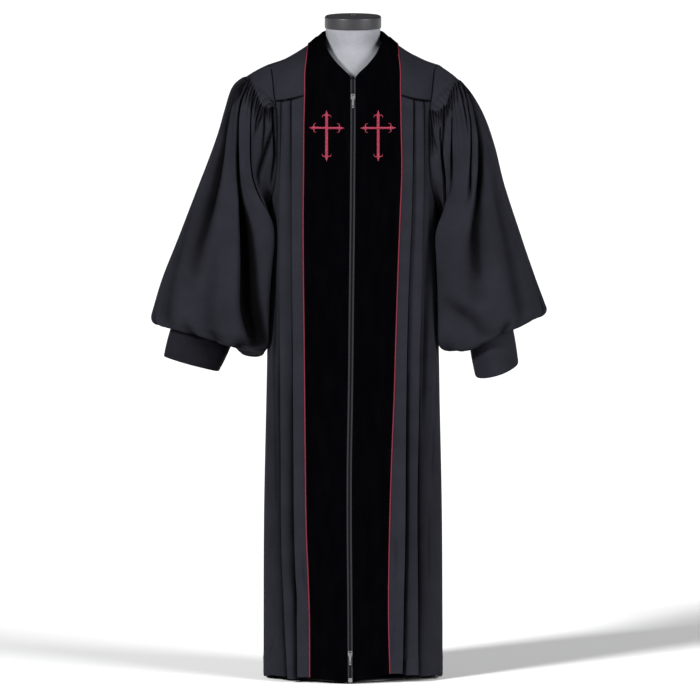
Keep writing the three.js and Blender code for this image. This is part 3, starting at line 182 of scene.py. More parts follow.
# Short gathers where the sleeve is drawn in: each follows points (out from the middle, height) as seen from
# the front, with its breadth and depth.
GATHERS_R = [
    ([(223.5, 1301.2), (232.2, 1280.4), (238.7, 1265.2)], 1.5, 4.5),
    ([(219.6, 1293.5), (227.8, 1271.7), (233.3, 1249.9)], 1.4, 4.5),
    ([(216.3, 1285.9), (222.9, 1265.2), (225.7, 1245.5)], 1.4, 4),
    ([(213.1, 1278.3), (219.2, 1258.6), (221.3, 1232.4)], 1.5, 5),
    ([(209.6, 1270.6), (214.8, 1252.1), (217.4, 1236.8)], 1.3, 4),
    ([(206.2, 1263), (210.5, 1243.4), (213.1, 1219.4)], 1.5, 5),
    ([(203.1, 1255.4), (207.2, 1241.2), (208.8, 1228.1)], 1.3, 4),
    ([(199.6, 1246.6), (205.1, 1230.3), (209.2, 1212.8), (210.5, 1191)], 1.9, 6),
    ([(194.9, 1242.3), (199.6, 1228.1), (201.2, 1215)], 1.3, 4),
    ([(189.2, 1239), (191.8, 1219.4), (192, 1197.5), (194.4, 1167), (197, 1132.1)], 1.9, 5.5),
    ([(184.4, 1237.9), (186.2, 1225.9), (185.8, 1212.8)], 1.3, 4),
    ([(179.5, 1239.4), (180.1, 1225.9), (180.1, 1206.3)], 1.5, 4.5),
    ([(174.7, 1241.2), (174, 1219.4), (172.7, 1197.5), (170.3, 1167), (169.3, 1138.6), (172.5, 1110.3),
      (176.9, 1079.7)], 2.2, 7),
    ([(177.9, 1257.5), (170.3, 1251)], 1.2, 3.2),
    ([(173.6, 1248.8), (163.8, 1246.6)], 1.2, 3.2),
    ([(167.1, 1255.4), (168.8, 1243.4)], 1.2, 3),
    ([(170.1, 1240.1), (162.8, 1234.6)], 1.2, 3),
    ([(181.2, 1248.8), (175.8, 1244.4)], 1.2, 2.6),
    ([(163.6, 1242.3), (161.9, 1230.3)], 1.2, 2.6),
    ([(244.1, 1282.6), (251.7, 1265.2), (260.4, 1245.5)], 1.6, 4.5),
    ([(235.4, 1294.6), (243.5, 1276.1), (248.5, 1256.4)], 1.5, 4.5),
    ([(228.9, 1303.4), (237.6, 1283.7), (243, 1265.2)], 1.5, 4.5)]
GATHERS_L = [
    ([(220.5, 1293.5), (224.6, 1273.9), (227, 1252.1)], 1.4, 4.5),
    ([(217, 1284.8), (218.7, 1265.2), (219.2, 1245.5)], 1.4, 4.5),
    ([(213.1, 1277.2), (214, 1258.6), (213.1, 1236.8)], 1.4, 4.5),
    ([(209.6, 1268.4), (209.6, 1249.9), (209.2, 1232.4)], 1.3, 4),
    ([(206.6, 1258.6), (206.8, 1241.2), (205.3, 1219.4)], 1.4, 4.5),
    ([(203.5, 1247.7), (203.1, 1230.3), (200.7, 1210.6)], 1.4, 4.5),
    ([(197.9, 1242.3), (197, 1225.9), (196.2, 1199.7), (193.8, 1167), (191.6, 1136.4)], 2, 6),
    ([(191.6, 1236.8), (191, 1221.5), (191, 1206.3)], 1.4, 4.5),
    ([(185.8, 1232.4), (185.3, 1219.4), (185.8, 1201.9)], 1.3, 4),
    ([(179.2, 1231.4), (180.1, 1217.2), (181.4, 1204.1)], 1.3, 4),
    ([(172.7, 1233.5), (174.5, 1219.4), (176.4, 1199.7)], 1.4, 4.5),
    ([(166.2, 1235.7), (168.4, 1219.4), (170.6, 1199.7), (171.4, 1171.3), (173.2, 1136.4)], 1.9, 5.5),
    ([(160.1, 1239), (162.8, 1219.4), (165.4, 1197.5), (167.1, 1167), (168, 1136.4)], 1.9, 5.5),
    ([(160.6, 1252.1), (168.2, 1245.5)], 1.2, 3.2),
    ([(157.3, 1244.4), (164.9, 1240.1)], 1.2, 3.2),
    ([(165.8, 1255.4), (167.5, 1242.3)], 1.2, 3),
    ([(154.9, 1255.4), (157.5, 1243.4)], 1.2, 2.8),
    ([(226.8, 1295.7), (232.8, 1276.1), (238.7, 1256.4)], 1.5, 4.5),
    ([(232.2, 1299), (240, 1280.4), (246.1, 1260.8)], 1.5, 4.5),
    ([(238.7, 1295.7), (248.2, 1276.1), (255.2, 1256.4)], 1.5, 4.5),
    ([(245.2, 1290.3), (255, 1271.7), (262.6, 1252.1)], 1.5, 4.5)]
HEM_FADE = 70  # height over which the pull at the hem fades
PUFF_END = 14  # station where the puff ends and its cuff starts
# Soft creases of the fronts: height and width where each starts and ends, breadth and depth.
CREASES_R = [
    (1200, 172, 700, 168, 6, 2.4), (1040, 178, 330, 172, 7, 3.0), (620, 163, 60, 165, 8, 2.2),
    (330, 118, 190, 104, 7, 2.0), (300, 146, 120, 128, 8, -1.6), (110, 172, 40, 184, 5, 1.6),
    (120, 158, 30, 166, 4, 1.4), (235, 128, 140, 118, 6, 1.6), (860, 140, 560, 143, 5, 0.9)]
CREASES_L = [
    (1010, 163, 470, 153, 8, 3.6), (1200, 172, 760, 170, 5, 2.2), (560, 172, 90, 166, 9, 2.4),
    (330, 88, 230, 104, 6, 1.7), (260, 84, 150, 97, 7, -1.4), (150, 96, 40, 88, 5, 1.2),
    (70, 118, 30, 108, 4, 1.5), (700, 178, 300, 180, 6, 1.6)]
# Small crumples where the yoke meets the sleeve: station, angle, length, breadth, slant and depth of each.
CRUMPLES = [(0.6, -57, 0.5, 1.6, 3, 2.4), (0.85, -63, 0.5, 1.5, -4, 2.8), (0.5, -68, 0.5, 1.5, 4, 2.4)]
# The dress form by height: half width, depth in front and behind.
FORM = table("z half front back", [
    (716, 150, 98, 102), (722, 154, 101, 105), (790, 156, 102, 106), (870, 146, 96, 97),
    (950, 129, 86, 86), (1040, 142, 92, 91), (1140, 156, 98, 96), (1230, 160, 96, 95),
    (1290, 159, 88, 88), (1322, 150, 77, 78), (1340, 128, 70, 71), (1356, 96, 66, 65),
    (1372, 68, 61, 60), (1390, 59, 58.5, 58.5), (1415, 59.5, 59.5, 59.5)])


def side_of_robe(tag, sign, **parts):
    """One side of the robe, with the columns of LINES that are its own.

    behind is the most that the back of its sleeve swings in behind the body, cuff_shade how deep in the
    puff's shade its cuff is, hem_rise how far the front hem is drawn up at the piping, between the pleats
    and beside them, and cuff_end the cuff's lower edge: outer and inner x and z, depth, and dip in front.
    """
    return SimpleNamespace(tag=tag, sign=sign, pipe=f"pipe_{tag}", inner=f"inner_{tag}", outer=f"outer_{tag}",
                           **parts)


RIGHT = side_of_robe("r", -1, sleeve=SLEEVE_R, sag=SAG_R, hug=HUG_R, folds=FOLDS_R, gathers=GATHERS_R,
                     creases=CREASES_R, cross_x=57, seed=11, behind=33, cuff_shade=0.62,
                     hem_rise=(10, 4, 8), cuff_end=(411, 700, 291, 667, 47, -1))
LEFT = side_of_robe("l", 1, sleeve=SLEEVE_L, sag=SAG_L, hug=HUG_L, folds=FOLDS_L, gathers=GATHERS_L,
                    creases=CREASES_L, cross_x=54.5, seed=12, behind=40, cuff_shade=0.08,
                    hem_rise=(18, 13, 8), cuff_end=(359, 686, 265, 658, 57, 10))


# ------------------------------------------------------------------ helpers
def mix(a, b, t):
    return a + (b - a) * t


def smooth(t):
    c = np.clip(t, 0, 1)
    return c * c * (3 - 2 * c)


def wrapped(degrees):
    return (degrees + 180) % 360 - 180


def bell(t):
    return np.exp(-t * t)


def steps(first, *counts_and_stops):
    """Even steps from first to each stop in turn: every stop comes after the count of values up to it."""
    out = [np.array([first], float)]
    for count, stop in zip(counts_and_stops[::2], counts_and_stops[1::2]):
        out.append(np.linspace(out[-1][-1], stop, count)[1:])
    return np.concatenate(out)


def unit(vectors):
    return vectors / np.maximum(np.linalg.norm(vectors, axis=-1, keepdims=True), 1e-9)


def run_of(points, axis=0):
    """Length along rows of points, from 0."""
    lengths = np.cumsum(np.linalg.norm(np.diff(points, axis=axis), axis=-1), axis)
    return np.concatenate([np.zeros_like(lengths.take([0], axis)), lengths], axis)


def curve(rows, key, column, t):
    """Smooth curve through one column of a table, against its key column."""
    k, v = rows[key], rows[column]
    last = len(k) - 1
    t = np.clip(np.asarray(t, float), k[0], k[-1])
    i = np.clip(np.searchsorted(k, t, side="left") - 1, 0, last - 1)
    before, after = np.maximum(i - 1, 0), np.minimum(i + 2, last)
    start = (v[i + 1] - v[before]) / (k[i + 1] - k[before])
    end = (v[after] - v[i]) / (k[after] - k[i])
    step = k[i + 1] - k[i]
    u = (t - k[i]) / step
    blend = u * u * (3 - 2 * u)
    return v[i] * (1 - blend) + v[i + 1] * blend + step * u * (1 - u) * (start * (1 - u) - end * u)


def bisect(value, target, low, high):
    """Solves value(x) = target for values that fall as x grows, all at once."""
    a, b = np.broadcast_arrays(np.asarray(low, float), np.asarray(high, float))
    shape = np.broadcast(a, target).shape
    a, b = np.broadcast_to(a, shape).copy(), np.broadcast_to(b, shape).copy()
    for _ in range(40):
        middle = (a + b) / 2
        over = value(middle) > target
        a, b = np.where(over, middle, a), np.where(over, b, middle)
    return (a + b) / 2


def ripple(u, v, seed, waves=9):
    """Gentle unevenness: a few waves of seeded direction and phase, about -1 to 1."""
    rng = np.random.default_rng(seed)
    total = np.zeros(np.broadcast(u, v).shape)
    for _ in range(waves):
        a, b, phase = rng.uniform(0.5, 2.2), rng.uniform(-1.6, 1.6), rng.uniform(0, 6.28)
        total = total + np.sin(a * u + b * v + phase)
    return total / waves ** 0.5 / 1.4


# ------------------------------------------------------------------ the body's smooth surface
def body_at(column, z):
    return curve(BODY, "z", column, z)


def ridge_z(x):
    return curve(RIDGE, "x", "z", np.abs(x))


def line_x(column, z):
    return curve(LINES, "z", column, z)


def depth_at(x, z, column):
    x, z = np.broadcast_arrays(np.abs(x), np.asarray(z, float))
    level = np.minimum(z, ARCH_Z)
    power = body_at("power", level)
    share = np.clip(x / body_at("half", level), 0, 1)
    deep = body_at(column, level) * (1 - share ** power) ** (1 / power)
    rise = np.clip((z - ARCH_Z) / (ridge_z(x) - ARCH_Z), 0, 1)
    return deep * np.sqrt(1 - rise ** 2)


def surface(x, z, column):
    x, z = np.broadcast_arrays(np.asarray(x, float), np.asarray(z, float))
    return np.stack([x, FACING[column] * depth_at(x, z, column), z], -1)


def widest_at(z):
    """Half width of the body, or of the ridge above the arch line."""
    return np.where(z > ARCH_Z, RIDGE_END, body_at("half", z))


def arch_point(x, climb, column):
    """Point over the shoulder: climb is 0 at the arch line and 1 on the ridge."""
    x, climb = np.broadcast_arrays(np.asarray(x, float), np.asarray(climb, float))
    turn = climb * math.pi / 2
    z = ARCH_Z + (ridge_z(x) - ARCH_Z) * np.sin(turn)
    return np.stack([x, FACING[column] * depth_at(x, ARCH_Z, column) * np.cos(turn), z], -1)


def climb_at(x, z):
    return np.arcsin(np.clip((z - ARCH_Z) / (ridge_z(x) - ARCH_Z), 0, 1)) / (math.pi / 2)


def armhole(angle):
    """Armhole edge at an angle in radians: 0 at the shoulder, positive in front."""
    angle = np.asarray(angle, float)
    front = np.sin(angle) >= 0
    z = (ARM_LOW_Z + ARM_TOP_Z) / 2 + (ARM_TOP_Z - ARM_LOW_Z) / 2 * np.cos(angle)
    y = np.where(front, ARM_FRONT_Y, ARM_BACK_Y) * np.sqrt(np.clip(1 - np.abs(np.cos(angle)) ** 3, 0, 1))

    def deep(x):
        return np.where(front, depth_at(x, z, "front"), depth_at(x, z, "back"))

    return np.stack([bisect(deep, y, ARM_IN_X, widest_at(z)), np.where(front, -y, y), z], -1)


# ------------------------------------------------------------------ meshes
def add_object(name, data):
    obj = bpy.data.objects.new(name, data)
    bpy.context.scene.collection.objects.link(obj)
    return obj


def piece_object(name, node, points, faces, material, uvs=None):
    """A piece that takes the place of that node: points in millimetres; uvs, in metres of cloth, are one pair
    for each face corner."""
    me = bpy.data.meshes.new(name)
    me.from_pydata((np.asarray(points) * MM).tolist(), [], faces)
    if uvs is not None:
        layer = me.uv_layers.new(name="cut")
        layer.uv.foreach_set("vector", np.asarray(uvs, np.float32).ravel())
    me.shade_smooth()
    me.set_sharp_from_angle(angle=SHARP)
    me.materials.append(material)
    me.update()
    obj = add_object(name, me)
    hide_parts(node)
    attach(obj, "robe")
    return obj


def ring_faces(rings, sides, first=0):
    """Quads between rings of points, of which the first starts at that point."""
    starts = [(first + i * sides, k, (k + 1) % sides) for i in range(rings - 1) for k in range(sides)]
    return [(at + k, at + after, at + sides + after, at + sides + k) for at, k, after in starts]


def grid_normals(grid, wrap, sign):
    if wrap:
        along = np.roll(grid, -1, 1) - np.roll(grid, 1, 1)
    else:
        along = np.empty_like(grid)
        along[:, 1:-1] = grid[:, 2:] - grid[:, :-2]
        along[:, 0], along[:, -1] = grid[:, 1] - grid[:, 0], grid[:, -1] - grid[:, -2]
    down = np.empty_like(grid)
    down[1:-1] = grid[2:] - grid[:-2]
    down[0], down[-1] = grid[1] - grid[0], grid[-1] - grid[-2]
    return sign * unit(np.cross(along, down))


def cloth_wall(name, node, base, lift, thick, material, wrap=False, sign=1, seam=0.0):
    """Closed wall of cloth over a smooth grid, with UVs along and across the cloth in metres.

    Its "fold" attribute is painted shade that darkens the cloth's colour: 1 deep inside folds and where seam
    paints shade, as along seams, and 0 on open cloth.
    """
    even = grid_normals(base, wrap, sign)
    outer = base + even * np.asarray(lift)[..., None]
    lean = np.clip((grid_normals(outer, wrap, sign) * even).sum(-1), 0.6, 1)
    inner = outer - even * (thick / lean)[..., None]
    rows, columns = base.shape[:2]
    closed = np.concatenate([base, base[:, :1]], 1) if wrap else base
    u, v = run_of(closed, 1) * MM, run_of(closed, 0) * MM
    wide = u.shape[1]
    u -= u[:, wide // 2][:, None]
    flat = np.stack([u, v], -1).reshape(-1, 2)
    i, j = (a.ravel() for a in np.meshgrid(np.arange(rows - 1), np.arange(wide - 1), indexing="ij"))
    half = rows * columns

    def at(r, c):
        return r * columns + c % columns

    corners = [(i, j), (i, j + 1), (i + 1, j + 1), (i + 1, j)]
    quads = np.stack([at(r, c) for r, c in corners], -1)
    places = np.stack([r * wide + c for r, c in corners], -1)
    faces, spots = [quads, quads[:, ::-1] + half], [places, places[:, ::-1]]

    def rim(r0, c0, r1, c1):
        a, b = at(r0, c0), at(r1, c1)
        faces.append(np.stack([b, a, a + half, b + half], -1))
        p, q = r0 * wide + c0, r1 * wide + c1
        spots.append(np.stack([q, p, p, q], -1))

    k = np.arange(wide - 1)
    rim(0 * k, k, 0 * k, k + 1)
    rim(0 * k + rows - 1, k + 1, 0 * k + rows - 1, k)
    if not wrap:
        k = np.arange(rows - 1)
        rim(k + 1, 0 * k, k, 0 * k)
        rim(k, 0 * k + columns - 1, k + 1, 0 * k + columns - 1)
    faces, spots = np.concatenate(faces), np.concatenate(spots)
    points = np.concatenate([outer.reshape(-1, 3), inner.reshape(-1, 3)])
    a, b, c = points[quads[:, 0]], points[quads[:, 1]], points[quads[:, 2]]
    facing = (np.cross(b - a, c - a) * even.reshape(-1, 3)[quads[:, 0]]).sum()
    if facing < 0:
        faces, spots = faces[:, ::-1], spots[:, ::-1]
    made = piece_object(name, node, points, faces.tolist(), material, flat[spots].reshape(-1, 2))
    sunk = 1 - np.exp(-np.maximum(-lift - FOLD_START, 0) / FOLD_FADE)
    fold = np.broadcast_to(np.maximum(sunk, seam), (rows, columns)).ravel()
    layer = made.data.attributes.new("fold", "FLOAT", "POINT")
    layer.data.foreach_set("value", np.tile(fold, 2).astype(np.float32))


def side_wall(side, name, node, base, lift, thick, material, **more):
    """Cloth wall of one side, built at positive x and mirrored where the side is at negative x."""
    base[..., 0] *= side.sign
    names = f"{name}_{side.tag}", f"{node}_{side.tag}"
    cloth_wall(*names, base, lift, thick, material, sign=side.sign, **more)


def cord(name, node, path, sides=12):
    """Round piping cord along a path, closed at its ends, with UVs along it."""
    along = unit(np.gradient(path, axis=0))
    side = unit(np.cross([0.0, 1.0, 0.0], along))
    up = np.cross(along, side)
    turn = np.arange(sides) * 2 * math.pi / sides
    ring = side[:, None] * np.cos(turn)[:, None] + up[:, None] * np.sin(turn)[:, None]
    points = (path[:, None] + ring * PIPING_R).reshape(-1, 3)
    reach = run_of(path) * MM
    wide = PIPING_R * MM * 2 * math.pi / sides
    uvs = []
    for start, end in zip(reach, reach[1:]):
        for k in range(sides):
            left, right = k * wide, (k + 1) * wide
            uvs += [(left, start), (right, start), (right, end), (left, end)]
    faces = ring_faces(len(path), sides)
    faces += [tuple(reversed(range(sides))), tuple(range(len(points) - sides, len(points)))]
    uvs += [(0, 0)] * sides * 2
    piece_object(name, node, points, faces, PIPING, uvs)


def lathe(name, node, profile, sides, material):
    """Turned body from a closed profile of (radius, z); its first and last points are on the axis."""
    turn = np.arange(sides) * 2 * math.pi / sides
    points = [(0, 0, profile[0][1])]
    for r, z in profile[1:-1]:
        points += [(r * math.cos(t), r * math.sin(t), z) for t in turn]
    points.append((0, 0, profile[-1][1]))
    top, last = len(points) - 1, len(points) - 1 - sides
    faces = [(0, 1 + (k + 1) % sides, 1 + k) for k in range(sides)]
    faces += ring_faces(len(profile) - 2, sides, first=1)
    faces += [(last + k, last + (k + 1) % sides, top) for k in range(sides)]
    piece_object(name, node, points, faces, material)


# ------------------------------------------------------------------ materials
WAVE_RADIANS = 20  # turn of a wave texture over one unit at scale 1


class Look:
    """A node material built with short calls."""

    def __init__(self, name, **shader):
        self.material = bpy.data.materials.new(name)
        self.material.use_nodes = True
        self.tree = self.material.node_tree
        self.shader = self.tree.nodes["Principled BSDF"]
        for socket, value in shader.items():
            self.shader.inputs[socket.replace("_", " ")].default_value = value

    def node(self, kind, fields=None, **sockets):
        made = self.tree.nodes.new(f"ShaderNode{kind}")
        for field, value in (fields or {}).items():
            setattr(made, field, value)
        for socket, value in sockets.items():
            self.put(made.inputs[socket.replace("_", " ")], value)
        return made

    def put(self, socket, value):
        if isinstance(value, bpy.types.NodeSocket):
            self.tree.links.new(value, socket)
        else:
            socket.default_value = value

    def maths(self, operation, a, b=0.0):
        made = self.node("Math", {"operation": operation})
        self.put(made.inputs[0], a)
        self.put(made.inputs[1], b)
        return made.outputs[0]

    def place(self, scale=(1, 1, 1), turn=0.0, source="cut"):
        if source == "cut":
            start = self.node("UVMap", {"uv_map": "cut"}).outputs[0]
        else:
            start = self.node("TexCoord").outputs["Object"]
        made = self.node("Mapping", Vector=start)
        made.inputs["Rotation"].default_value = (0, 0, turn)
        made.inputs["Scale"].default_value = scale
        return made.outputs[0]

    def threads(self, period, turn=0.0, source="cut", direction="X", wander=0.0):
        """Evenly spaced lines, one every period metres."""
        where = self.place(turn=turn, source=source)
        made = self.node("TexWave", {"bands_direction": direction}, Vector=where, Distortion=wander,
                         Scale=2 * math.pi / (WAVE_RADIANS * period), Detail=1.0, Detail_Scale=2.0)
        return made.outputs["Fac"]

    def noise(self, size, detail=3.0, stretch=(1, 1, 1), source="object", rough=0.55):
        made = self.node("TexNoise", Vector=self.place(scale=stretch, source=source), Scale=1 / size,
                         Detail=detail, Roughness=rough)
        return made.outputs["Fac"]

    def ramp(self, fac, *stops):
        made = self.node("ValToRGB", Fac=fac)
        cells = made.color_ramp.elements
        while len(cells) < len(stops):
            cells.new(0.5)
        for cell, (spot, colour) in zip(cells, stops):
            cell.position = spot
            cell.color = (*colour, 1)
        return made.outputs["Color"]

    def span(self, fac, low, high):
        made = self.node("MapRange", Value=fac, To_Min=low, To_Max=high)
        return made.outputs[0]

    def add(self, *terms):
        """Weighted sum of (weight, value) pairs."""
        total = None
        for weight, value in terms:
            scaled = self.maths("MULTIPLY", value, weight)
            total = scaled if total is None else self.maths("ADD", total, scaled)
        return total

    def finish(self, colour, roughness=None, *bumps):
        """bumps are (height value, distance in metres, strength)."""
        self.put(self.shader.inputs["Base Color"], colour)
        if roughness is not None:
            self.put(self.shader.inputs["Roughness"], roughness)
        normal = None
        for height, distance, strength in bumps:
            made = self.node("Bump", Height=height, Distance=distance, Strength=strength)
            if normal is not None:
                self.put(made.inputs["Normal"], normal)
            normal = made.outputs[0]
        if normal is not None:
            self.put(self.shader.inputs["Normal"], normal)
        return self.material


def robe_cloth():
    look = Look("robe_cloth", Specular_IOR_Level=0.025, Sheen_Weight=0.008, Sheen_Roughness=0.3,
                Sheen_Tint=(0.72, 0.76, 0.95, 1))
    twill = look.threads(0.00085, turn=1.1)
    warp = look.threads(0.00042)
    melange = look.noise(0.0011, 4, (1, 0.25, 1), "cut")
    broad = look.noise(0.055, 3)
    # The "fold" attribute is painted shade: subtracted here, it darkens the cloth toward black in folds,
    # creases, gathers and along seams.
    fold = look.node("Attribute", {"attribute_name": "fold"}).outputs["Fac"]
    shade = look.add((0.28, twill), (0.14, warp), (0.33, melange), (0.25, broad), (-0.72, fold))
    colour = look.ramp(shade, (0.02, (0.0004, 0.0004, 0.0006)), (0.25, (0.0056, 0.0056, 0.0078)),
                       (0.5, (0.0106, 0.0106, 0.0146)), (0.75, (0.0180, 0.0180, 0.0242)))
    rough = look.span(melange, 0.68, 0.86)
    rumple = look.noise(0.016, 3, (1, 1, 0.45))
    weave = look.add((0.6, twill), (0.4, melange))
    return look.finish(colour, rough, (rumple, 0.0014, 0.45), (weave, 0.00016, 0.55))


def velvet():
    look = Look("velvet", Specular_IOR_Level=0.0, Sheen_Weight=0.001, Sheen_Roughness=0.5,
                Sheen_Tint=(0.55, 0.56, 0.68, 1))
    pile = look.noise(0.0006, 3, source="object")
    nap = look.noise(0.02, 4, (1, 1, 0.3))
    rows = look.threads(0.0011, direction="Y", wander=1.2)
    colour = look.ramp(look.add((0.45, pile), (0.4, nap), (0.15, rows)), (0.3, (0.0003, 0.0003, 0.0004)),
                       (0.55, (0.0007, 0.0007, 0.0010)), (0.78, (0.0019, 0.0019, 0.0025)))
    return look.finish(colour, look.span(nap, 0.82, 1.0), (nap, 0.0012, 0.4), (pile, 0.0005, 0.8))


def piping_cord():
    look = Look("piping_red", Specular_IOR_Level=0.14, Sheen_Weight=0.02, Sheen_Roughness=0.3)
    twist = look.threads(0.0016, turn=0.75)
    fuzz = look.noise(0.0007, 3)
    colour = look.ramp(look.add((0.7, twist), (0.3, fuzz)), (0.2, (0.045, 0.002, 0.007)),
                       (0.55, (0.125, 0.008, 0.020)), (0.85, (0.22, 0.025, 0.044)))
    return look.finish(colour, look.span(fuzz, 0.4, 0.6), (twist, 0.0004, 0.9), (fuzz, 0.0001, 0.4))


def satin_stitch():
    look = Look("embroidery_red", Specular_IOR_Level=0.3)
    stitch = look.threads(0.00065, direction="Y", wander=0.6)
    strand = look.noise(0.0012, 2, (0.35, 3.2, 1), "cut")
    colour = look.ramp(look.add((0.6, stitch), (0.4, strand)), (0.2, (0.045, 0.0008, 0.005)),
                       (0.5, (0.145, 0.002, 0.016)), (0.75, (0.36, 0.022, 0.066)))
    return look.finish(colour, look.span(strand, 0.3, 0.5), (stitch, 0.00025, 0.9), (strand, 0.00012, 0.5))


def woven_tape():
    look = Look("zip_tape", Specular_IOR_Level=0.1)
    bone = look.threads(0.0011, turn=0.8)
    back = look.threads(0.0011, turn=-0.8)
    colour = look.ramp(look.add((0.4, bone), (0.4, back), (0.2, look.noise(0.002, 2))),
                       (0.2, (0.006, 0.006, 0.0072)), (0.6, (0.015, 0.015, 0.0178)),
                       (0.9, (0.027, 0.027, 0.031)))
    return look.finish(colour, 0.75, (bone, 0.0002, 0.5), (back, 0.0002, 0.5))


def coil_teeth():
    look = Look("zip_teeth", Specular_IOR_Level=0.12)
    colour = look.ramp(look.noise(0.004, 2), (0.3, (0.0012, 0.0016, 0.0020)), (0.7, (0.0030, 0.0038, 0.0045)))
    rough = look.span(look.noise(0.0015, 2), 0.28, 0.45)
    return look.finish(colour, rough, (look.noise(0.0006, 2), 0.00005, 0.3))


def nickel():
    look = Look("zip_metal", Metallic=1.0)
    grain = look.noise(0.0006, 3, (1, 1, 0.12))
    wear = look.noise(0.004, 3)
    colour = look.ramp(wear, (0.3, (0.14, 0.14, 0.15)), (0.7, (0.36, 0.36, 0.38)))
    return look.finish(colour, look.span(grain, 0.16, 0.38), (grain, 0.00004, 0.35))


def linen_jersey():
    look = Look("form_linen", Specular_IOR_Level=0.2, Sheen_Weight=0.12, Sheen_Roughness=0.5)
    weft = look.threads(0.0017, source="object", direction="Z", wander=2.4)
    slub = look.noise(0.0022, 3, (1, 1, 6))
    warp = look.noise(0.0018, 3, (5, 5, 0.5))
    broad = look.noise(0.03, 3)
    weave = look.add((0.35, weft), (0.35, slub), (0.3, warp))
    colour = look.ramp(look.add((0.75, weave), (0.25, broad)), (0.28, (0.105, 0.11, 0.12)),
                       (0.5, (0.182, 0.188, 0.204)), (0.74, (0.275, 0.28, 0.30)))
    return look.finish(colour, look.span(slub, 0.8, 0.95), (weave, 0.0007, 0.7))


def cap_finish():
    look = Look("form_cap", Specular_IOR_Level=0.4, Coat_Weight=0.15, Coat_Roughness=0.25)
    grain = look.noise(0.006, 4, (1, 1, 4))
    fine = look.noise(0.0006, 3)
    colour = look.ramp(grain, (0.3, (0.008, 0.0077, 0.0098)), (0.7, (0.015, 0.0145, 0.018)))
    return look.finish(colour, look.span(fine, 0.34, 0.52), (fine, 0.00012, 0.4), (grain, 0.0003, 0.25))


def stand_paint():
    look = Look("stand_metal", Metallic=0.3, Specular_IOR_Level=0.5)
    orange_peel = look.noise(0.0016, 3)
    dust = look.noise(0.03, 4)
    colour = look.ramp(dust, (0.3, (0.016, 0.016, 0.018)), (0.75, (0.035, 0.035, 0.038)))
    return look.finish(colour, look.span(dust, 0.3, 0.5), (orange_peel, 0.0001, 0.4))


ROBE, VELVET_LOOK, PIPING, STITCH = robe_cloth(), velvet(), piping_cord(), satin_stitch()
TAPE, TEETH, METAL = woven_tape(), coil_teeth(), nickel()
LINEN, CAP_LOOK, STAND = linen_jersey(), cap_finish(), stand_paint()


# ------------------------------------------------------------------ robe panels
SEAM_X = {"front": 104, "back": 0}
SEAM_CLIMB = {"front": climb_at(SEAM_X["front"], 1278), "back": climb_at(SEAM_X["back"], 1270)}
FLUTES, FLUTE_SPAN = 10, 66


def seam_climb(x, column, degrees):
    """Climb over the shoulder along a yoke row that ends at that angle of the armhole."""
    edge = armhole(np.radians(degrees) * -FACING[column])
    outer = climb_at(edge[..., 0], edge[..., 2])
    inner = mix(SEAM_CLIMB[column], 1, (YOKE_ANGLE - degrees) / YOKE_ANGLE)
    reach = np.clip((x - SEAM_X[column]) / (edge[..., 0] - SEAM_X[column]), 0, 1)
    return mix(inner, outer, reach)


def level_edge(level, column):
    """Outer edge of a body panel: hem (0), start of the rise (1), underarm (2), yoke seam (3)."""
    z = np.where(level <= 1, mix(HEM_Z, RISE_Z, level), mix(RISE_Z, ARM_LOW_Z, level - 1))
    side_line = np.stack([body_at("half", z), 0 * z, z], -1)
    angle = np.radians(mix(180, YOKE_ANGLE, np.clip(level - 2, 0, 1)))
    return np.where((level <= 2)[..., None], side_line, armhole(angle * -FACING[column]))


def row_z(level, x, column):
    """Height of a panel's row at a width; rows rise toward the armhole from RISE_Z on."""
    edge = level_edge(level, column)
    corner = armhole(np.radians(YOKE_ANGLE) * -FACING[column])
    climb = seam_climb(np.minimum(x, corner[0]), column, YOKE_ANGLE)
    seam = arch_point(x, climb, column)[..., 2] - SEAM_GAP / 2
    share = np.clip(np.where(level <= 2, level - 1, 1 + 14 * (level - 2)) / 15, 0, 1)
    inner = np.where(level <= 1, mix(HEM_Z, RISE_Z, level), mix(RISE_Z, seam, share))
    reach = np.clip((x - SEAM_X[column]) / (edge[..., 0] - SEAM_X[column]), 0, 1)
    return mix(inner, edge[..., 2] - (level >= 3) * SEAM_GAP / 2, reach ** 2)


def seam_shade(distance):
    """Shade of the narrow dip in which a seam lies, by millimetres from the seam."""
    return 0.85 * bell(distance / 1.5)


def panel_seams(level, from_edge):
    """Shade along the yoke seam and the armhole of a body panel."""
    at_yoke = seam_shade((3 - level) * UPPER_TALL)
    return np.maximum(at_yoke, np.where(level > 2.1, seam_shade(from_edge), 0))


def knife_pleat(past, deep, swell, z):
    """Height across a pleat folded at past = 0; the hollow beside its fold opens toward the hem."""
    open_wide = smooth((820 - z) / 560)
    hollow, floor = mix(2.4, 7.0, open_wide), mix(5.0, 7.5, open_wide)
    rise = deep * smooth((past + swell) / (swell - 0.6))
    drop = mix(deep, -floor - 1.5, np.clip((past + 0.6) / 1.2, 0, 1))
    out = -floor * (1 - smooth((past - 0.6 - 0.3 * hollow) / hollow))
    out -= 1.5 * (1 - smooth((past - 0.6) / 12))
    return np.where(past < -0.6, rise, np.where(past < 0.6, drop, out))


def pleat_shade(past, z, broad):
    """Shade that a pleat's fold throws on the cloth beside it, broader toward the hem."""
    reach = mix(2.0, broad, smooth((900 - z) / 500)) * mix(0.5, 1, smooth((z - 40) / 200))
    return 0.8 * smooth((past + 0.9) / 0.9) * np.exp(-np.maximum(past - 1.5, 0) / reach)


def crease_lift(rows, x, z):
    """Height of the soft creases, each a valley with a low ridge on either side."""
    lift = 0 * x
    for z0, x0, z1, x1, wide, deep in rows:
        share = (z0 - z) / (z0 - z1)
        inside = (share > 0) & (share < 1)
        middle = mix(x0, x1, share) + 1.5 * np.sin(share * 5 + x0)
        off = (x - middle) / wide
        fade = np.sin(np.pi * np.clip(share, 0, 1)) ** 0.6
        lift -= 1.5 * inside * deep * fade * (bell(off) - 0.3 * bell(off - 1.7) - 0.3 * bell(off + 1.7))
    return lift


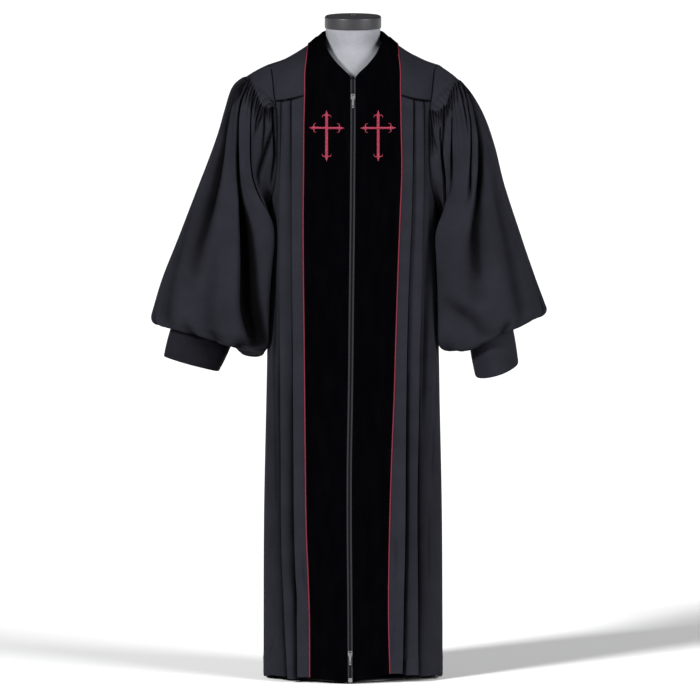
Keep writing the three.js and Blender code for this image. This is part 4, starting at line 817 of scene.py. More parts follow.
def hem_band(z, u, seed):
    """Blind-stitched hem: the turned-up band stands a little proud and puckers at its stitches."""
    band = 0.55 * smooth((HEM_BAND - z) / 2.5)
    pucker = 0.35 * ripple(u / 5.5, z / 40, seed) * bell((z - HEM_BAND) / 9)
    sway = 0.9 * ripple(u / 26, z / 90, seed + 1) * smooth((260 - z) / 240)
    return band + pucker + sway


def front_columns(start, inner, outer):
    """Widths from the piping past both pleats, closest together at their folds."""
    knots = [start, mix(start, inner - 3, 0.5), inner - 3, inner - 1.1, inner - 0.5, inner + 0.6, inner + 1.6,
             inner + 4, mix(inner + 4, outer - 3, 0.6), outer - 3, outer - 1.1, outer - 0.5, outer + 0.6,
             outer + 1.6, outer + 4]
    counts = [5, 5, 3, 2, 3, 1, 4, 3, 3, 3, 2, 3, 1, 4]
    parts = [knots[0][..., None]]
    for a, b, n in zip(knots, knots[1:], counts):
        t = np.arange(1, n + 1) / n
        parts.append(a[..., None] + (b - a)[..., None] * t)
    return np.concatenate(parts, -1)


def turned_x(start, end, share, z, column):
    """Widths at evenly turned angles between two widths of a row."""
    def turn(x):
        return np.arctan2(x, np.maximum(depth_at(x, z, column), 0.01))

    angle = mix(turn(start), turn(end), share)
    return bisect(lambda x: -turn(x), -angle, 0, widest_at(z))


# The inner and the outer pleat: how proud the fold stands, how far before it the cloth starts to swell, and
# how far its shade reaches.
PLEATS = [(5.4, 18, 9), (6.2, 20, 13)]
# Rows of a body panel: 0 at the hem, 1 where the rows start to rise, 2 at the underarm, 3 at the yoke seam.
LEVELS = np.append(steps(0, 16, 0.06, 96, 1, 18, 2, 56, 2.97), [2.98, 2.987, 2.992, 2.9965, 3])


def front_panel(side):
    """Front from the piping to the side: close columns over both pleats, then even ones to the side line."""
    level = LEVELS[:, None]
    edge = level_edge(LEVELS, "front")
    guess = row_z(LEVELS, 120.0, "front")
    start = line_x(side.pipe, guess) + PIPING_R + 1.5 * SEAM_GAP
    inner = line_x(side.inner, guess)
    outer = np.minimum(line_x(side.outer, guess), edge[:, 0] - 7)
    near = front_columns(start, inner, outer)
    last = near[:, -1:]
    end = edge[:, :1] - np.where(level <= 2, 0, SEAM_GAP / 2)
    share = np.arange(1, 43)[None] / 42
    level_z = row_z(level, mix(last, end, share), "front")
    far = turned_x(last, end, share, level_z, "front")
    far[:, -1] = end[:, 0]
    x = np.concatenate([near, far], 1)
    z = np.concatenate([row_z(level, near, "front"), level_z], 1)
    z[:, -1] = row_z(LEVELS, edge[:, 0], "front")
    past_inner, past_outer = x - inner[:, None], x - outer[:, None]
    by_pipe, on_pleat, by_side = side.hem_rise
    rise = by_pipe + (on_pleat - by_pipe) * smooth(past_inner / 1.2)
    rise += (by_side - on_pleat) * smooth(past_outer / 1.2)
    rise *= smooth((end - x) / 20) * bell((z - HEM_Z) / HEM_FADE)
    base = surface(x, z + rise, "front")
    base[:, -1, 1] -= np.where(LEVELS <= 2, SEAM_GAP / 2, 0)
    settle = 1 - 0.5 * smooth((z - 1020) / 230)
    # pleats gathers the painted shadow that each pleat's fold throws on the cloth beside it.
    lift, pleats = 0 * x, 0 * x
    for past, (proud, swell, reach) in zip((past_inner, past_outer), PLEATS):
        lift += knife_pleat(past, proud * settle, swell, z)
        pleats = np.maximum(pleats, pleat_shade(past, z, reach))
    lift += np.sin(z / 310 + side.sign) * 1.2 * smooth((x - 150) / 30) * smooth((1000 - z) / 200)
    lift += crease_lift(side.creases, x, z)
    lift += hem_band(z, x, side.seed)
    lift += 0.55 * ripple(x / 21, z / 75, side.seed + 7)
    tucks = bell((x - 158) / 18) * smooth((z - 1080) / 160) * np.sin(x / 1.9 + 0.6 * np.sin(z / 40))
    lift += 0.8 * tucks
    lift *= smooth((end - x) / 6) * smooth((3 - level) / 0.02)
    # Painted shade along the yoke seam, the armhole and beside the pleats, passed on as the fold attribute.
    seam = np.maximum(panel_seams(level, end - x), pleats)
    side_wall(side, "cloth_front", "robe_front", base, lift, CLOTH, ROBE, seam=seam)


def back_lift(degrees, z):
    """Organ flutes of uneven breadth, rounder than a wave and opening to the hem."""
    even = (degrees + FLUTE_SPAN) / (2 * FLUTE_SPAN) * FLUTES
    place = even + 0.16 * np.sin(even * 1.9 + 0.7) * smooth((1100 - z) / 500)
    fade = smooth((FLUTE_SPAN + 4 - np.abs(degrees)) / 10)
    opening = mix(6.8, 3.8, smooth((z - 500) / 700))
    wave = (0.5 - 0.5 * np.cos(place * 2 * np.pi)) ** 0.75
    return fade * opening * wave - 1.5 * fade


def back_panel():
    level = LEVELS[:, None]
    edge = level_edge(LEVELS, "back")
    end = edge[:, :1] - np.where(level <= 2, 0, SEAM_GAP / 2)
    t = np.linspace(-1, 1, 201)[None]
    share = np.abs(t)
    z = row_z(level, end * share, "back")
    x = turned_x(np.zeros_like(end), end, share, z, "back")
    x[:, [0, -1]] = end
    base = surface(x, z, "back")
    for j in (0, -1):
        base[:, j, 1] = np.where(LEVELS <= 2, SEAM_GAP / 2, base[:, j, 1])
    base[..., 0] *= np.sign(t)
    degrees = np.degrees(np.arctan2(base[..., 0], np.maximum(base[..., 1], 0.01)))
    lift = back_lift(degrees, z)
    below = 1275 - z
    gather = bell(below / 55) * smooth(below / 3) * smooth((60 - np.abs(degrees)) / 8)
    uneven = 0.6 + 0.4 * np.sin(degrees * 0.9)
    lift += 1.5 * gather * np.sin(degrees * 1.55 + 1.2 * np.sin(degrees * 0.21)) * uneven
    lift += hem_band(z, degrees * 3, BACK_SEED)
    lift += 0.8 * ripple(degrees / 8, z / 90, BACK_SEED + 2)
    lift *= smooth((1 - share) / 0.03) * smooth((3 - level) / 0.02)
    seam = panel_seams(level, (1 - share) * end)
    cloth_wall("cloth_back", "robe_back", base, lift, CLOTH, ROBE, sign=-1, seam=seam)


# Rows of the yoke, as angles of the armhole from the seam up to the ridge.
YOKE_TURNS = YOKE_ANGLE - np.concatenate([[0, 0.35, 0.8, 1.4, 2.2], np.linspace(3.3, YOKE_ANGLE, 42)])
YOKE_ROWS = 1 - YOKE_TURNS[:, None] / YOKE_ANGLE
YOKE_SHARE = np.concatenate([np.linspace(0, 0.955, 42), [0.97, 0.98, 0.988, 0.995, 1]])


def yoke_front(side):
    edge = armhole(np.radians(YOKE_TURNS))
    first = SEAM_X["front"]
    level = arch_point(first, seam_climb(first, "front", YOKE_TURNS), "front")[..., 2]
    start = line_x(side.pipe, level) + PIPING_R + 2.5 * SEAM_GAP
    share = YOKE_SHARE[None]
    x = mix(start[:, None], edge[:, :1] - SEAM_GAP / 2, share)
    climb = np.stack([seam_climb(row, "front", degrees) for row, degrees in zip(x, YOKE_TURNS)])
    climb[-1] = 1
    base = arch_point(x, climb, "front")
    base[0, :, 2] += SEAM_GAP
    base[-1, :, 1] -= RIDGE_GAP
    rows = YOKE_ROWS
    lift = 0.5 * ripple(x / 16, rows * 3, side.seed + 3)
    lift += 0.9 * bell((rows - 0.04) / 0.05) * bell((share - 1) / 0.5)
    lift *= smooth(rows / 0.04) * smooth((1 - rows) / 0.06)
    lift *= smooth(share / 0.05) * smooth((1 - share) / 0.05)
    seam = np.maximum(seam_shade(rows * YOKE_LONG), seam_shade((1 - share) * YOKE_HALF))
    lift -= 0.9 * seam
    side_wall(side, "cloth_yoke", "yoke", base, lift, CLOTH, ROBE, seam=seam)


NECK_X, NECK_Z = 97.5, 1371


def neck_dip(x):
    """Height of the neck edge at the back."""
    return NECK_Z + (ridge_z(NECK_X) - NECK_Z) * (x / NECK_X) ** 2


def yoke_back():
    edge = armhole(-np.radians(YOKE_TURNS))
    half = np.concatenate([np.linspace(0, 0.97, 58), [0.977, 0.984, 0.99, 0.995, 1]])
    t = np.concatenate([-half[:0:-1], half])[None]
    share = np.abs(t)
    x = (edge[:, :1] - SEAM_GAP / 2) * share
    inside = np.minimum(x, NECK_X)
    ridge = np.where(x < NECK_X, climb_at(x, neck_dip(inside) - 1.2 - SEAM_GAP), 1)
    rise = ((YOKE_ANGLE - YOKE_TURNS) / YOKE_ANGLE)[:, None]
    outer = climb_at(edge[:, 0], edge[:, 2])[:, None]
    outer[-1] = 1
    climb = mix(mix(SEAM_CLIMB["back"], ridge, rise), outer, share ** 3)
    climb[-1] = ridge[-1]
    base = arch_point(x, climb, "back")
    first = np.stack([seam_climb(v, "back", YOKE_ANGLE) for v in x[0]])
    base[0, :, 2] = arch_point(x[0], first, "back")[:, 2] + SEAM_GAP
    base[-1, :, 1] += np.where(x[-1] >= NECK_X, RIDGE_GAP, 0)
    rows = YOKE_ROWS
    lift = 0.6 * ripple(x * np.sign(t) / 18, rows * 3, BACK_SEED + 10)
    lift *= smooth(rows / 0.05) * smooth((1 - rows) / 0.08) * smooth((1 - share) / 0.04)
    base[..., 0] *= np.sign(t)
    seam = np.maximum(seam_shade(rows * YOKE_LONG), seam_shade((1 - share) * YOKE_BACK_HALF))
    cloth_wall("cloth_yoke_back", "yoke_back", base, lift, CLOTH, ROBE, sign=-1, seam=seam)


# ------------------------------------------------------------------ velvet, piping and zip
# Zip in millimetres; each tooth reaches across the chain from its own side, tilted and tapered to its tip.
TAPE_THICK = 1.1
TOOTH_PITCH, TOOTH_WIDE, TOOTH_TALL, TOOTH_DEEP = 1.5, 2.3, 0.95, 1.3
TOOTH_OUT, TOOTH_BACK, TOOTH_TILT, TOOTH_TAPER = 0.5, 0.55, 0.18, 0.72
CORE_WIDE, CORE_DEEP, CORE_BACK = 3.2, 0.8, 1.3
BOX_FACES = [(0, 1, 2, 3), (7, 6, 5, 4), (4, 5, 1, 0), (5, 6, 2, 1), (6, 7, 3, 2), (7, 4, 0, 3)]


def edge_round(share, width):
    """Rounds the pile down over the folded edges of a band of that width."""
    return -1.1 * bell(np.minimum(share, 1 - share) * width)


def hem_pull(side, z):
    """How far the velvet's outer edge is drawn up near the hem."""
    return side.hem_rise[0] * bell((z - HEM_Z) / HEM_FADE)


def velvet_front(side):
    """Velvet band: straight rows up to the V, then rows that fan out between the V and the piping."""
    low = steps(HEM_Z, 22, 60, 200, V_LOW_Z)
    share = np.concatenate([[0, 0.012, 0.03], np.linspace(0.06, 0.94, 24), [0.97, 0.988, 1]])[None]
    start = side.sign * line_x("zip", low) + TAPE_HALF
    end = line_x(side.pipe, low) - PIPING_R - SEAM_GAP
    x = mix(start[:, None], end[:, None], share)
    z = np.repeat(low[:, None], x.shape[1], 1)
    rise = np.sin(np.linspace(0, 1, 29)[1:] * math.pi / 2)
    out_z, in_z = mix(V_LOW_Z, ridge_z(BAND_TOP_X), rise), mix(V_LOW_Z, COLLAR_Z, rise)
    start_v = np.maximum(curve(NECK_V, "z", "x", in_z), TAPE_HALF)
    end_v = line_x(side.pipe, out_z) - PIPING_R - SEAM_GAP
    x_v = mix(start_v[:, None], end_v[:, None], share)
    z_v = mix(in_z[:, None], out_z[:, None], share)
    z_v[-1] = ridge_z(x_v[-1])
    z_v = np.minimum(z_v, ridge_z(x_v))
    x, z = np.concatenate([x, x_v]), np.concatenate([z, z_v])
    base = surface(x, z + hem_pull(side, z) * share, "front")
    base[-1, :, 1] = -RIDGE_GAP
    below_chest = smooth((1130 - z) / 150)
    lift = VELVET_LIFT + edge_round(share, x[:, -1:] - x[:, :1])
    lift += 0.7 * below_chest * ripple(x / 30, z / 120, side.seed + 5)
    lift += 0.5 * smooth((VELVET_HEM - z) / 3)
    lift += 0.35 * bell((z - VELVET_HEM) / 6) * ripple(x / 6, z / 20, side.seed + 6)
    side_wall(side, "velvet_band", "velvet", base, lift, VELVET, VELVET_LOOK)


def neck_line(turn):
    """Edge of the neck at the back, along which the piping runs."""
    x = NECK_X * np.cos(turn)
    z = neck_dip(np.abs(x))
    y = np.maximum(depth_at(x, np.minimum(z, ridge_z(x) - 0.01), "back"), RIDGE_GAP)
    return np.stack([x, y, z], -1)


def neck_top(turn):
    """Upper edge of the velvet neckband."""
    back = np.sin(turn)
    return np.stack([COLLAR_X * np.cos(turn), RIDGE_GAP + 68 * back, COLLAR_Z + 3 * back], -1)


def velvet_neckband():
    """Band round the back of the neck, bowed a little inward."""
    turn = np.linspace(0, math.pi, 73)
    high, low = neck_top(turn), neck_line(turn)
    low = low + unit(high - low) * (1.2 + 2 * SEAM_GAP)
    share = np.concatenate([[0, 0.02, 0.05], np.linspace(0.1, 0.9, 11), [0.95, 0.98, 1]])
    base = mix(low[:, None], high[:, None], share[None, :, None])
    outward = unit(np.stack([np.cos(turn), np.sin(turn), 0 * turn + 0.6], -1))
    bow = -3 * np.sin(share * math.pi)[None] * np.sin(turn)[:, None]
    base = base + outward[:, None] * bow[..., None]
    lift = VELVET_LIFT + edge_round(share[None], 40) * np.sin(turn)[:, None] ** 0.5
    cloth_wall("velvet_neckband", "velvet_neck", base, lift, VELVET, VELVET_LOOK, sign=-1)


def piping(side):
    z = steps(HEM_Z, 260, 1300, 18, 1366)
    path = surface(line_x(side.pipe, z), z + hem_pull(side, z), "front")
    path[:, 1] -= 0.4
    top = np.array([NECK_X, -SEAM_GAP / 2, float(ridge_z(NECK_X)) + 0.3])
    path = np.concatenate([path, mix(path[-1], top, np.linspace(0, 1, 7)[1:, None])])
    path[:, 0] *= side.sign
    cord(f"piping_cord_{side.tag}", f"piping_{side.tag}", path)


def piping_back():
    cord("piping_cord_neck", "piping_neck", neck_line(np.linspace(0, math.pi, 91)))


def zip_tape(side):
    z = np.linspace(HEM_Z, V_LOW_Z, 260)[:, None]
    share = np.linspace(0, 1, 6)[None]
    offset = side.sign * mix(CHAIN_HALF + SEAM_GAP, TAPE_HALF - SEAM_GAP, share)
    base = surface(line_x("zip", z) + offset, z, "front")
    base[..., 1] += 0.4
    lift = 0.25 * np.sin(share * math.pi) + 0 * z
    cloth_wall(f"tape_{side.tag}", f"zip_tape_{side.tag}", base, lift, TAPE_THICK, TAPE, sign=side.sign)


def zip_teeth():
    """Interlocked teeth, every other one from the other side, on a flat cord core."""
    core_z = np.linspace(HEM_Z, V_LOW_Z, 200)
    centre = surface(line_x("zip", core_z), core_z, "front")
    points, faces = [], []

    def box(x, y, z, w, h, d, tilt=0.0):
        at = len(points)
        for sy, shrink in ((-1, TOOTH_TAPER), (1, 1)):
            for sx, sz in ((-1, -1), (1, -1), (1, 1), (-1, 1)):
                points.append((x + sx * w / 2 * shrink, y + sy * d / 2, z + sz * h / 2 * shrink + sx * tilt))
        faces.extend(tuple(at + k for k in face) for face in BOX_FACES)

    for n, z in enumerate(np.arange(HEM_Z + 8, V_LOW_Z - 2, TOOTH_PITCH)):
        x, way = float(line_x("zip", z)), 1 if n % 2 else -1
        y = -float(depth_at(x, z, "front"))
        box(x + way * TOOTH_OUT, y + TOOTH_BACK, z, TOOTH_WIDE, TOOTH_TALL, TOOTH_DEEP, way * TOOTH_TILT)
    for a, b in zip(centre, centre[1:]):
        x, y, z = (a + b) / 2
        box(x, y + CORE_BACK, z, CORE_WIDE, b[2] - a[2] + 0.02, CORE_DEEP)
    piece_object("teeth", "zip_chain", points, faces, TEETH)


# ------------------------------------------------------------------ embroidered crosses
# Length of each arm's pointed tip and its half width there; radius, distance from the tip, half width and
# sweep in degrees of the hooks; height of the padding of arms and hooks.
ARM_TIP, ARM_SWELL = 11.5, 3.0
HOOK_R, HOOK_BACK, HOOK_HALF, HOOK_SWEEP = 4.2, 14.5, 1.0, 200
ARM_TALL, HOOK_TALL = 1.25, 1.05
# Length, half width and direction of the arms, up, down and to both sides.
CROSS_ARMS = [(38, 3.0, 0), (72, 3.0, 180), (38, 2.2, 90), (38, 2.2, -90)]


def satin_strip(middle, half, tall):
    """Padded satin stitch of a varying half width along a flat path: its points (across, along, height)."""
    along = unit(np.gradient(middle, axis=0))
    side = np.stack([along[:, 1], -along[:, 0]], -1)
    c = np.sin(np.linspace(-1, 1, 11) * math.pi / 2)
    spots = middle[:, None] + side[:, None] * (c[None, :, None] * half[:, None, None])
    dome = tall * np.minimum(1, half / 2.2)[:, None] * np.sqrt(1 - 0.88 * c ** 2)[None]
    return np.concatenate([spots, dome[..., None]], -1)


def cross_strips():
    """The arms of a cross, each with a pointed tip and a curled hook on either side."""
    strips = []
    for length, half, turn in CROSS_ARMS:
        y = steps(0, 40, length - ARM_TIP, 30, length)
        stops = [0, length - ARM_TIP, length - ARM_TIP * 0.62, length]
        bar = np.interp(y, stops, [half, half, ARM_SWELL, 0.3])
        made = [satin_strip(np.stack([0 * y, y], -1), bar, ARM_TALL)]
        for flip in (-1, 1):
            share = np.linspace(0, 1, 34)
            angle = np.radians(180 - share * HOOK_SWEEP)
            path = np.stack([flip * (HOOK_R + 1.2 + HOOK_R * np.cos(angle)),
                             length - HOOK_BACK + HOOK_R * np.sin(angle)], -1)
            taper = np.sqrt(np.sin(np.clip(share * 0.97 + 0.03, 0, 1) * math.pi)) ** 0.35
            wide = mix(HOOK_HALF * 1.5, HOOK_HALF * 0.45, share) * taper
            made.append(satin_strip(path, np.maximum(wide, 0.3), HOOK_TALL))
        c, s = math.cos(math.radians(turn)), math.sin(math.radians(turn))
        for strip in made:
            a, b = strip[..., 0].copy(), strip[..., 1].copy()
            strip[..., 0], strip[..., 1] = c * a - s * b, s * a + c * b
            strips.append(strip)
    return strips


def embroidered_cross(side):
    """Cross laid on the velvet, every strip closed down to the pile."""
    points, faces, uvs = [], [], []
    for strip in cross_strips():
        x, z = side.cross_x + strip[..., 0], CROSS_Z + strip[..., 1]
        on = surface(x, z, "front")
        slope = depth_at(x + 0.5, z, "front") - depth_at(x - 0.5, z, "front")
        normal = unit(np.stack([-slope, -1 + 0 * slope, 0 * slope], -1))
        face = on + normal * (VELVET_LIFT + strip[..., 2:3] + 0.1)
        sunk = on + normal * (VELVET_LIFT - 0.3)
        rows, columns = x.shape
        at = len(points)
        points += face.reshape(-1, 3).tolist() + sunk.reshape(-1, 3).tolist()
        run, wide = run_of(face[:, columns // 2]) * MM, run_of(face, 1) * MM
        half = rows * columns
        for i in range(rows - 1):
            for j in range(columns - 1):
                corners = [(i, j), (i, j + 1), (i + 1, j + 1), (i + 1, j)]
                quad = tuple(at + r * columns + c for r, c in corners)
                spot = [(wide[r, c], run[r]) for r, c in corners]
                faces += [quad, tuple(v + half for v in reversed(quad))]
                uvs += spot + spot[::-1]
        ring = [i * columns for i in range(rows)] + [(rows - 1) * columns + j for j in range(1, columns)]
        ring += [i * columns + columns - 1 for i in range(rows - 2, -1, -1)] + list(range(columns - 2, 0, -1))
        for a, b in zip(ring, ring[1:] + ring[:1]):
            faces.append((at + a, at + b, at + b + half, at + a + half))
            uvs += [(0, 0)] * 4
    points = np.array(points)
    points[:, 0] *= side.sign
    piece_object(f"embroidery_{side.tag}", f"cross_{side.tag}", points, faces, STITCH, uvs)


# ------------------------------------------------------------------ sleeves and cuffs
def sleeve_base(side, at, degrees):
    """Smooth form of a sleeve: at is 0 at the armhole and PUFF_END at the cuff; degrees are 0 outside."""
    def ring(name):
        return curve(side.sleeve, "at", name, at)

    angle = np.radians(degrees)
    share = (1 + np.cos(angle)) / 2
    p = np.stack([mix(ring("in_x"), ring("out_x"), share), -ring("deep") * np.sin(angle),
                  mix(ring("in_z"), ring("out_z"), share)], -1)
    for angle_0, wide, deep in side.sag:
        off = wrapped(degrees - angle_0) / wide
        p[..., 2] -= deep * bell(off) * smooth((at - 8) / 2.5) * smooth((PUFF_END - at) / 1.5)
    hug = {name: curve(side.hug, "at", name, at) for name in ("angle", "wide", "reach")}
    p[..., 0] -= hug["reach"] * bell(wrapped(degrees - hug["angle"]) / hug["wide"])
    p[..., 0] -= side.behind * bell((at - 4.5) / 1.6) * bell(wrapped(degrees + 128) / 26)
    seam = armhole(angle)
    seam[..., 0] += SEAM_GAP
    away = 1 - (1 - np.minimum(at, 2.5) / 2.5) ** 2
    return mix(seam, p, away[..., None])


def gather_station(degrees):
    """Station at which the sleeve head is drawn in, at each angle."""
    return 2 * np.cos(np.radians(np.clip(degrees, -60, 60)) * 1.5)


def fold_lift(folds, at, degrees):
    """Depth of the main folds, how far each ridge beside them rolls over in degrees, and their shade."""
    lift, roll, shade = (0 * at * degrees for _ in range(3))
    for fold in folds:
        first, last = fold["at"][0], fold["at"][-1]
        inside = (at >= first) & (at <= last)
        angle, deep, before, after = (curve(fold, "at", name, at) for name in FOLD_NAMES.split()[1:])
        off = wrapped(degrees - angle)
        shape = np.exp(-np.abs(off / np.where(off < 0, before, after)) ** 1.8)
        ends = smooth((at - first) / 0.15) * smooth((last - at) / 0.3)
        deep = np.maximum(deep, 0) * ends * inside
        shade = np.maximum(shade, np.clip(deep / 10, 0, 1) * shape)
        shoulder = bell((off + before * 1.5) / before) + bell((off - after * 1.5) / after)
        lift += -deep * shape + 0.14 * deep * shoulder
        steep = np.clip(deep / 12, 0, 1)
        roll += steep * (after > before) * 2.2 * bell((off + before * 1.2) / before)
        roll -= steep * (before > after) * 2.2 * bell((off - after * 1.2) / after)
    return lift, roll, shade


def flow_angle(guide, at):
    """Angle that a guide column has at a station; the back mirrors the front."""
    knots = np.array([0, 13, 23, 37, 64, 100, 180], float)
    between = [curve(FLOW, "at", f"c{k:.0f}", at) for k in knots[1:-1]]
    spots = np.concatenate([0 * at, *between, 0 * at + 180], 1)
    size = np.abs(guide)
    i = np.clip(np.searchsorted(knots, size[0], side="right") - 1, 0, len(knots) - 2)
    share = (size - knots[i]) / (knots[i + 1] - knots[i])
    return np.sign(guide) * mix(spots[:, i], spots[:, i + 1], share)


def head_gathers(at, guide, seed):
    """Seeded puckers that start where the sleeve head is drawn in; some run on down the puff."""
    rng = np.random.default_rng(seed)
    lift = 0 * at * guide
    angle, count = -72.0, 0
    while angle < 70:
        scale = 1 if angle > -4 else 1.6
        angle += scale * rng.uniform(1.7, 2.6)
        count += 1
        long = count % 3 == 0
        deep = rng.uniform(6.0, 8.5) if long else rng.uniform(4.0, 6.5)
        wide = scale * rng.uniform(0.5, 0.72)
        reach = rng.uniform(0.9, 2.0) if long else rng.uniform(0.28, 0.6)
        past = at - gather_station(angle) * rng.uniform(0.95, 1.03)
        lift -= deep * bell((guide - angle) / wide) * smooth(past / 0.1) * bell(np.maximum(past, 0) / reach)
    start = at - gather_station(guide)
    puff = 3.2 * smooth(start / 0.25) * bell(np.maximum(start, 0) / 1.6) * smooth((95 - np.abs(guide)) / 25)
    return lift, puff


def drawn_gathers(gathers, base):
    """Depth of the short gathers on the front of a sleeve head."""
    seen = np.stack([base[..., 0], base[..., 2] + base[..., 1] * math.tan(SEEN_FROM)], -1)
    lift = np.zeros(seen.shape[:-1])
    for points, wide, deep in gathers:
        path = np.array(points)
        lengths = np.linalg.norm(np.diff(path, axis=0), axis=1)
        reach = run_of(path) / lengths.sum()
        best = np.zeros_like(lift)
        for a, b, start, end in zip(path, path[1:], reach, reach[1:]):
            share = np.clip(((seen - a) @ (b - a)) / ((b - a) @ (b - a)), 0, 1)
            off = np.linalg.norm(seen - a - share[..., None] * (b - a), axis=-1)
            along = start + (end - start) * share
            best = np.maximum(best, bell(off / wide) * (1 - 0.75 * along ** 2))
        lift = np.minimum(lift, -deep * best)
    return lift * smooth((10 - base[..., 1]) / 20)


def head_tucks(at, guide, height):
    """Fine flat tucks between the armhole seam and the gathers."""
    share = at / np.maximum(gather_station(guide), 0.4)
    fade = smooth(share / 0.2) * smooth((1.02 - share) / 0.12) * smooth((66 - np.abs(guide)) / 8)
    return height * np.cos(np.radians(guide * 360 / TUCK_PITCH)) * fade


def cuff_gathers(at, degrees, seed):
    """Seeded puckers where the puff is drawn into its cuff."""
    rng = np.random.default_rng(seed)
    lift = 0 * at * degrees
    angle = -180.0
    while angle < 178:
        angle += rng.uniform(4.2, 8.6)
        deep, wide, start = rng.uniform(1.6, 4.0), rng.uniform(1.7, 3.0), rng.uniform(10.4, 12.2)
        middle = angle + rng.uniform(-4, 4) * (13.6 - at) / 3
        grow = smooth((at - start) / (13.0 - start))
        lift -= deep * grow * bell(wrapped(degrees - middle) / (wide * (1 + 0.5 * np.clip(13 - at, 0, 3))))
    return lift * smooth((PUFF_END - at) / 0.25)


def sleeve(side):
    """Puffed sleeve: its smooth form, then the main folds, the gathers at both ends and slight unevenness."""
    at = steps(0, 41, 3, 60, 9.4, 36, PUFF_END)[:, None]
    front = np.concatenate([np.arange(0, 68, FRONT_STEP), np.linspace(68, 180, 34)])
    back = np.concatenate([np.arange(0, 68, BACK_STEP), np.linspace(68, 180, 30)])
    guide = np.concatenate([-back[:0:-1], front[:-1]])[None]
    degrees = flow_angle(guide, at)
    lift, roll, shade = fold_lift(side.folds, at, degrees)
    hugged, reach = (curve(side.hug, "at", name, at) for name in ("angle", "reach"))
    lobe = bell((degrees - hugged - 12) / 22) * smooth(reach / 12)
    lift *= 1 - lobe
    base = sleeve_base(side, at + 0 * degrees, degrees + roll * smooth((at - 2) / 1.5))
    puckers, puff = head_gathers(at, guide, side.seed + 40)
    puckers *= 1 - 0.85 * smooth((guide - 6) / 14)
    puckers += drawn_gathers(side.gathers, base)
    lift += puff + head_tucks(at, guide, 0.32)
    lift += cuff_gathers(at, degrees, side.seed + 60)
    for station, angle, tall, wide, slant, deep in CRUMPLES:
        off = (guide - angle - slant * (at - station)) / wide
        puckers -= deep * bell(off) * bell((at - station) / tall * 1.4)
    lift += puckers
    seamless = smooth((180 - np.abs(degrees)) / 30)
    lift += 1.3 * ripple(np.radians(degrees) * 4, at * 0.9, side.seed + 80) * seamless
    lift += 0.7 * ripple(np.radians(degrees) * 9, at * 1.6, side.seed + 81) * seamless
    lift *= smooth(at / 0.25) * smooth((PUFF_END - at) / 0.1)
    # Painted shade: darker along the armhole seam, inside the gathers and in the main fold valleys; it
    # becomes the fold attribute.
    painted_armhole_shade = 0.85 * bell(at / 0.07) * smooth((120 - np.abs(degrees)) / 20)
    painted_gather_shade = 0.92 * (1 - np.exp(puckers / 2.6))
    seam = np.maximum(np.maximum(painted_armhole_shade, painted_gather_shade), 0.9 * shade * (1 - lobe))
    side_wall(side, "puff_sleeve", "sleeve", base, lift, CLOTH, ROBE, wrap=True, seam=seam)


def cuff(side):
    """Cuff from the end of the puff to the wrist, with a row of stitches along both edges."""
    out_x, out_z, in_x, in_z, deep, dip = side.cuff_end
    degrees = np.linspace(0, 360, 181)[:-1][None]
    angle = np.radians(degrees)
    share = (1 + np.cos(angle)) / 2
    last = {name: side.sleeve[name][-1] for name in SLEEVE_NAMES.split()}
    top = np.stack([mix(last["in_x"], last["out_x"], share), -last["deep"] * np.sin(angle),
                    mix(last["in_z"], last["out_z"], share) - SEAM_GAP - 0.3], -1)
    low = np.stack([mix(in_x, out_x, share), -deep * np.sin(angle),
                    mix(in_z, out_z, share) - dip * np.sin(angle)], -1)
    t = np.concatenate([[0, 0.01, 0.03], np.linspace(0.07, 0.93, 26), [0.96, 0.985, 1]])[:, None]
    base = mix(top, low, t[..., None])
    rounding = -0.9 * bell(t / 0.02) - 1.0 * bell((1 - t) / 0.016)
    stitch_row = -0.35 * bell((t - 0.1) / 0.012) - 0.35 * bell((t - 0.9) / 0.012)
    bow = 1.6 * np.sin(math.pi * t) + 0 * degrees
    seamless = smooth((180 - np.abs(wrapped(degrees))) / 25)
    lift = bow + rounding + stitch_row + 0.8 * ripple(angle * 3, t * 2, side.seed + 90) * seamless
    shaded = side.cuff_shade * (0.3 + 0.7 * (1 - share)) + 0 * t
    side_wall(side, "cuff_band", "cuff", base, lift, CUFF_CLOTH, ROBE, wrap=True, seam=shaded)


# ------------------------------------------------------------------ dress form and stand
def form_body():
    low, high = FORM["z"][0], FORM["z"][-1]
    z = np.append([low, low + 0.8, low + 2.5], steps(low + 6, 50, 1300, 60, high))[:, None]
    sides = 120
    angle = np.arange(sides)[None] * 2 * math.pi / sides
    half, front, back = (curve(FORM, "z", name, z) for name in ("half", "front", "back"))
    deep = np.where(np.cos(angle) > 0, front, back)
    shrink = 1 - 0.012 * bell((z - low) / 1.2)
    points = np.stack([half * np.sin(angle) * shrink, -deep * np.cos(angle) * shrink, z + 0 * angle], -1)
    last = (len(z) - 1) * sides
    faces = ring_faces(len(z), sides)
    faces += [tuple(reversed(range(sides))), tuple(range(last, last + sides))]
    piece_object("form_body", "form_torso", points.reshape(-1, 3), faces, LINEN)


def rounded(corners, radius, bends=5):
    """Profile with its corners rounded: corners are (radius, z), first and last on the axis."""
    out = [corners[0]]
    for before, here, after in zip(corners, corners[1:], corners[2:]):
        b, h, a = (Vector(p) for p in (before, here, after))
        first, last = h + (b - h).normalized() * radius, h + (a - h).normalized() * radius
        for k in range(bends + 1):
            t = k / bends
            out.append(tuple(first * (1 - t) ** 2 + h * 2 * t * (1 - t) + last * t * t))
    return out + [corners[-1]]


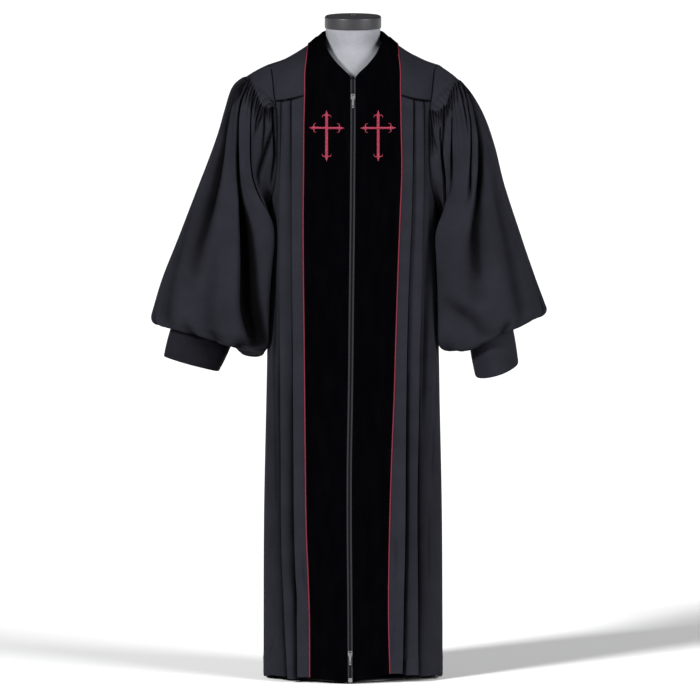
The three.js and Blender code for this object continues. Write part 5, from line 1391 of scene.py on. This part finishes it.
# Turned pieces: name, node, profile as (radius, height) corners, their rounding, sides and material.
TURNED = [
    ("form_disc", "form_cap", [(0, 1415.4), (61.5, 1415.4), (61.5, 1438.6), (58.5, 1442), (0, 1442)],
     1.0, 144, CAP_LOOK),
    ("form_stud", "form_cap_stud", [(0, 1442.3), (9, 1442.3), (9, 1444.4), (7, 1445.7), (0, 1445.7)],
     0.5, 48, STAND),
    ("stand_tube", "stand_pole", [(0, 8.4), (12, 8.4), (12, 715.6), (0, 715.6)], 0.6, 64, STAND),
    ("stand_plate", "stand_base", [(0, 0), (122, 0), (125, 2.4), (125, 5.4), (121, 8), (0, 8)],
     1.2, 160, STAND)]


# ------------------------------------------------------------------ build
for side in (RIGHT, LEFT):
    for build in (front_panel, yoke_front, velvet_front, piping, embroidered_cross, sleeve, cuff, zip_tape):
        build(side)
for build in (back_panel, yoke_back, velvet_neckband, piping_back, zip_teeth, form_body):
    build()
for name, node, corners, radius, sides, material in TURNED:
    lathe(name, node, rounded(corners, radius), sides, material)

METAL_EDGE = 0.00035
for node in ("zip_slider_top", "zip_slider_low", "zip_pull_top", "zip_pull_low", "zip_box"):
    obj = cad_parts[node]
    obj.data.materials.clear()
    obj.data.materials.append(METAL)
    edge = obj.modifiers.new("edges", "BEVEL")
    edge.width, edge.segments, edge.limit_method = METAL_EDGE, 2, "ANGLE"

# ------------------------------------------------------------------ floor, light and camera
FLOOR_HALF, FLOOR_WHITE = 120, (0.96, 0.96, 0.96, 1)
floor_mesh = bpy.data.meshes.new("floor")
corners = [(x * FLOOR_HALF, y * FLOOR_HALF, 0) for x, y in ((-1, -1), (1, -1), (1, 1), (-1, 1))]
floor_mesh.from_pydata(corners, [], [(0, 1, 2, 3)])
floor_mesh.materials.append(Look("floor", Roughness=0.9, Specular_IOR_Level=0.1).finish(FLOOR_WHITE))
add_object("floor", floor_mesh)

world = bpy.data.worlds.new("studio")
bpy.context.scene.world = world
world.use_nodes = True
background = world.node_tree.nodes["Background"]
background.inputs["Color"].default_value = (0.97, 0.98, 1.0, 1)
background.inputs["Strength"].default_value = 0.1


def sun(name, azimuth, elevation, strength, spread):
    """Soft far light; azimuth 0 shines from the camera's side, positive from its right."""
    light = bpy.data.lights.new(name, "SUN")
    light.energy, light.angle = strength, math.radians(spread)
    add_object(name, light).rotation_euler = (math.radians(90 - elevation), 0, math.radians(azimuth))


sun("key", -42, 24, 5.5, 10)
sun("fill", 52, 20, 3.9, 26)

AIM, DISTANCE = Vector((-0.0065, 0, 0.713)), 60
LENS, SENSOR, FAR_END = 1422, 36, 500
camera_data = bpy.data.cameras.new("camera")
camera_data.lens, camera_data.sensor_width, camera_data.clip_end = LENS, SENSOR, FAR_END
camera = add_object("camera", camera_data)
camera.location = AIM + DISTANCE * Vector((0, -math.cos(SEEN_FROM), math.sin(SEEN_FROM)))
camera.rotation_euler = (math.pi / 2 - SEEN_FROM, 0, 0)
bpy.context.scene.camera = camera
bpy.context.scene.view_settings.view_transform = "Standard"
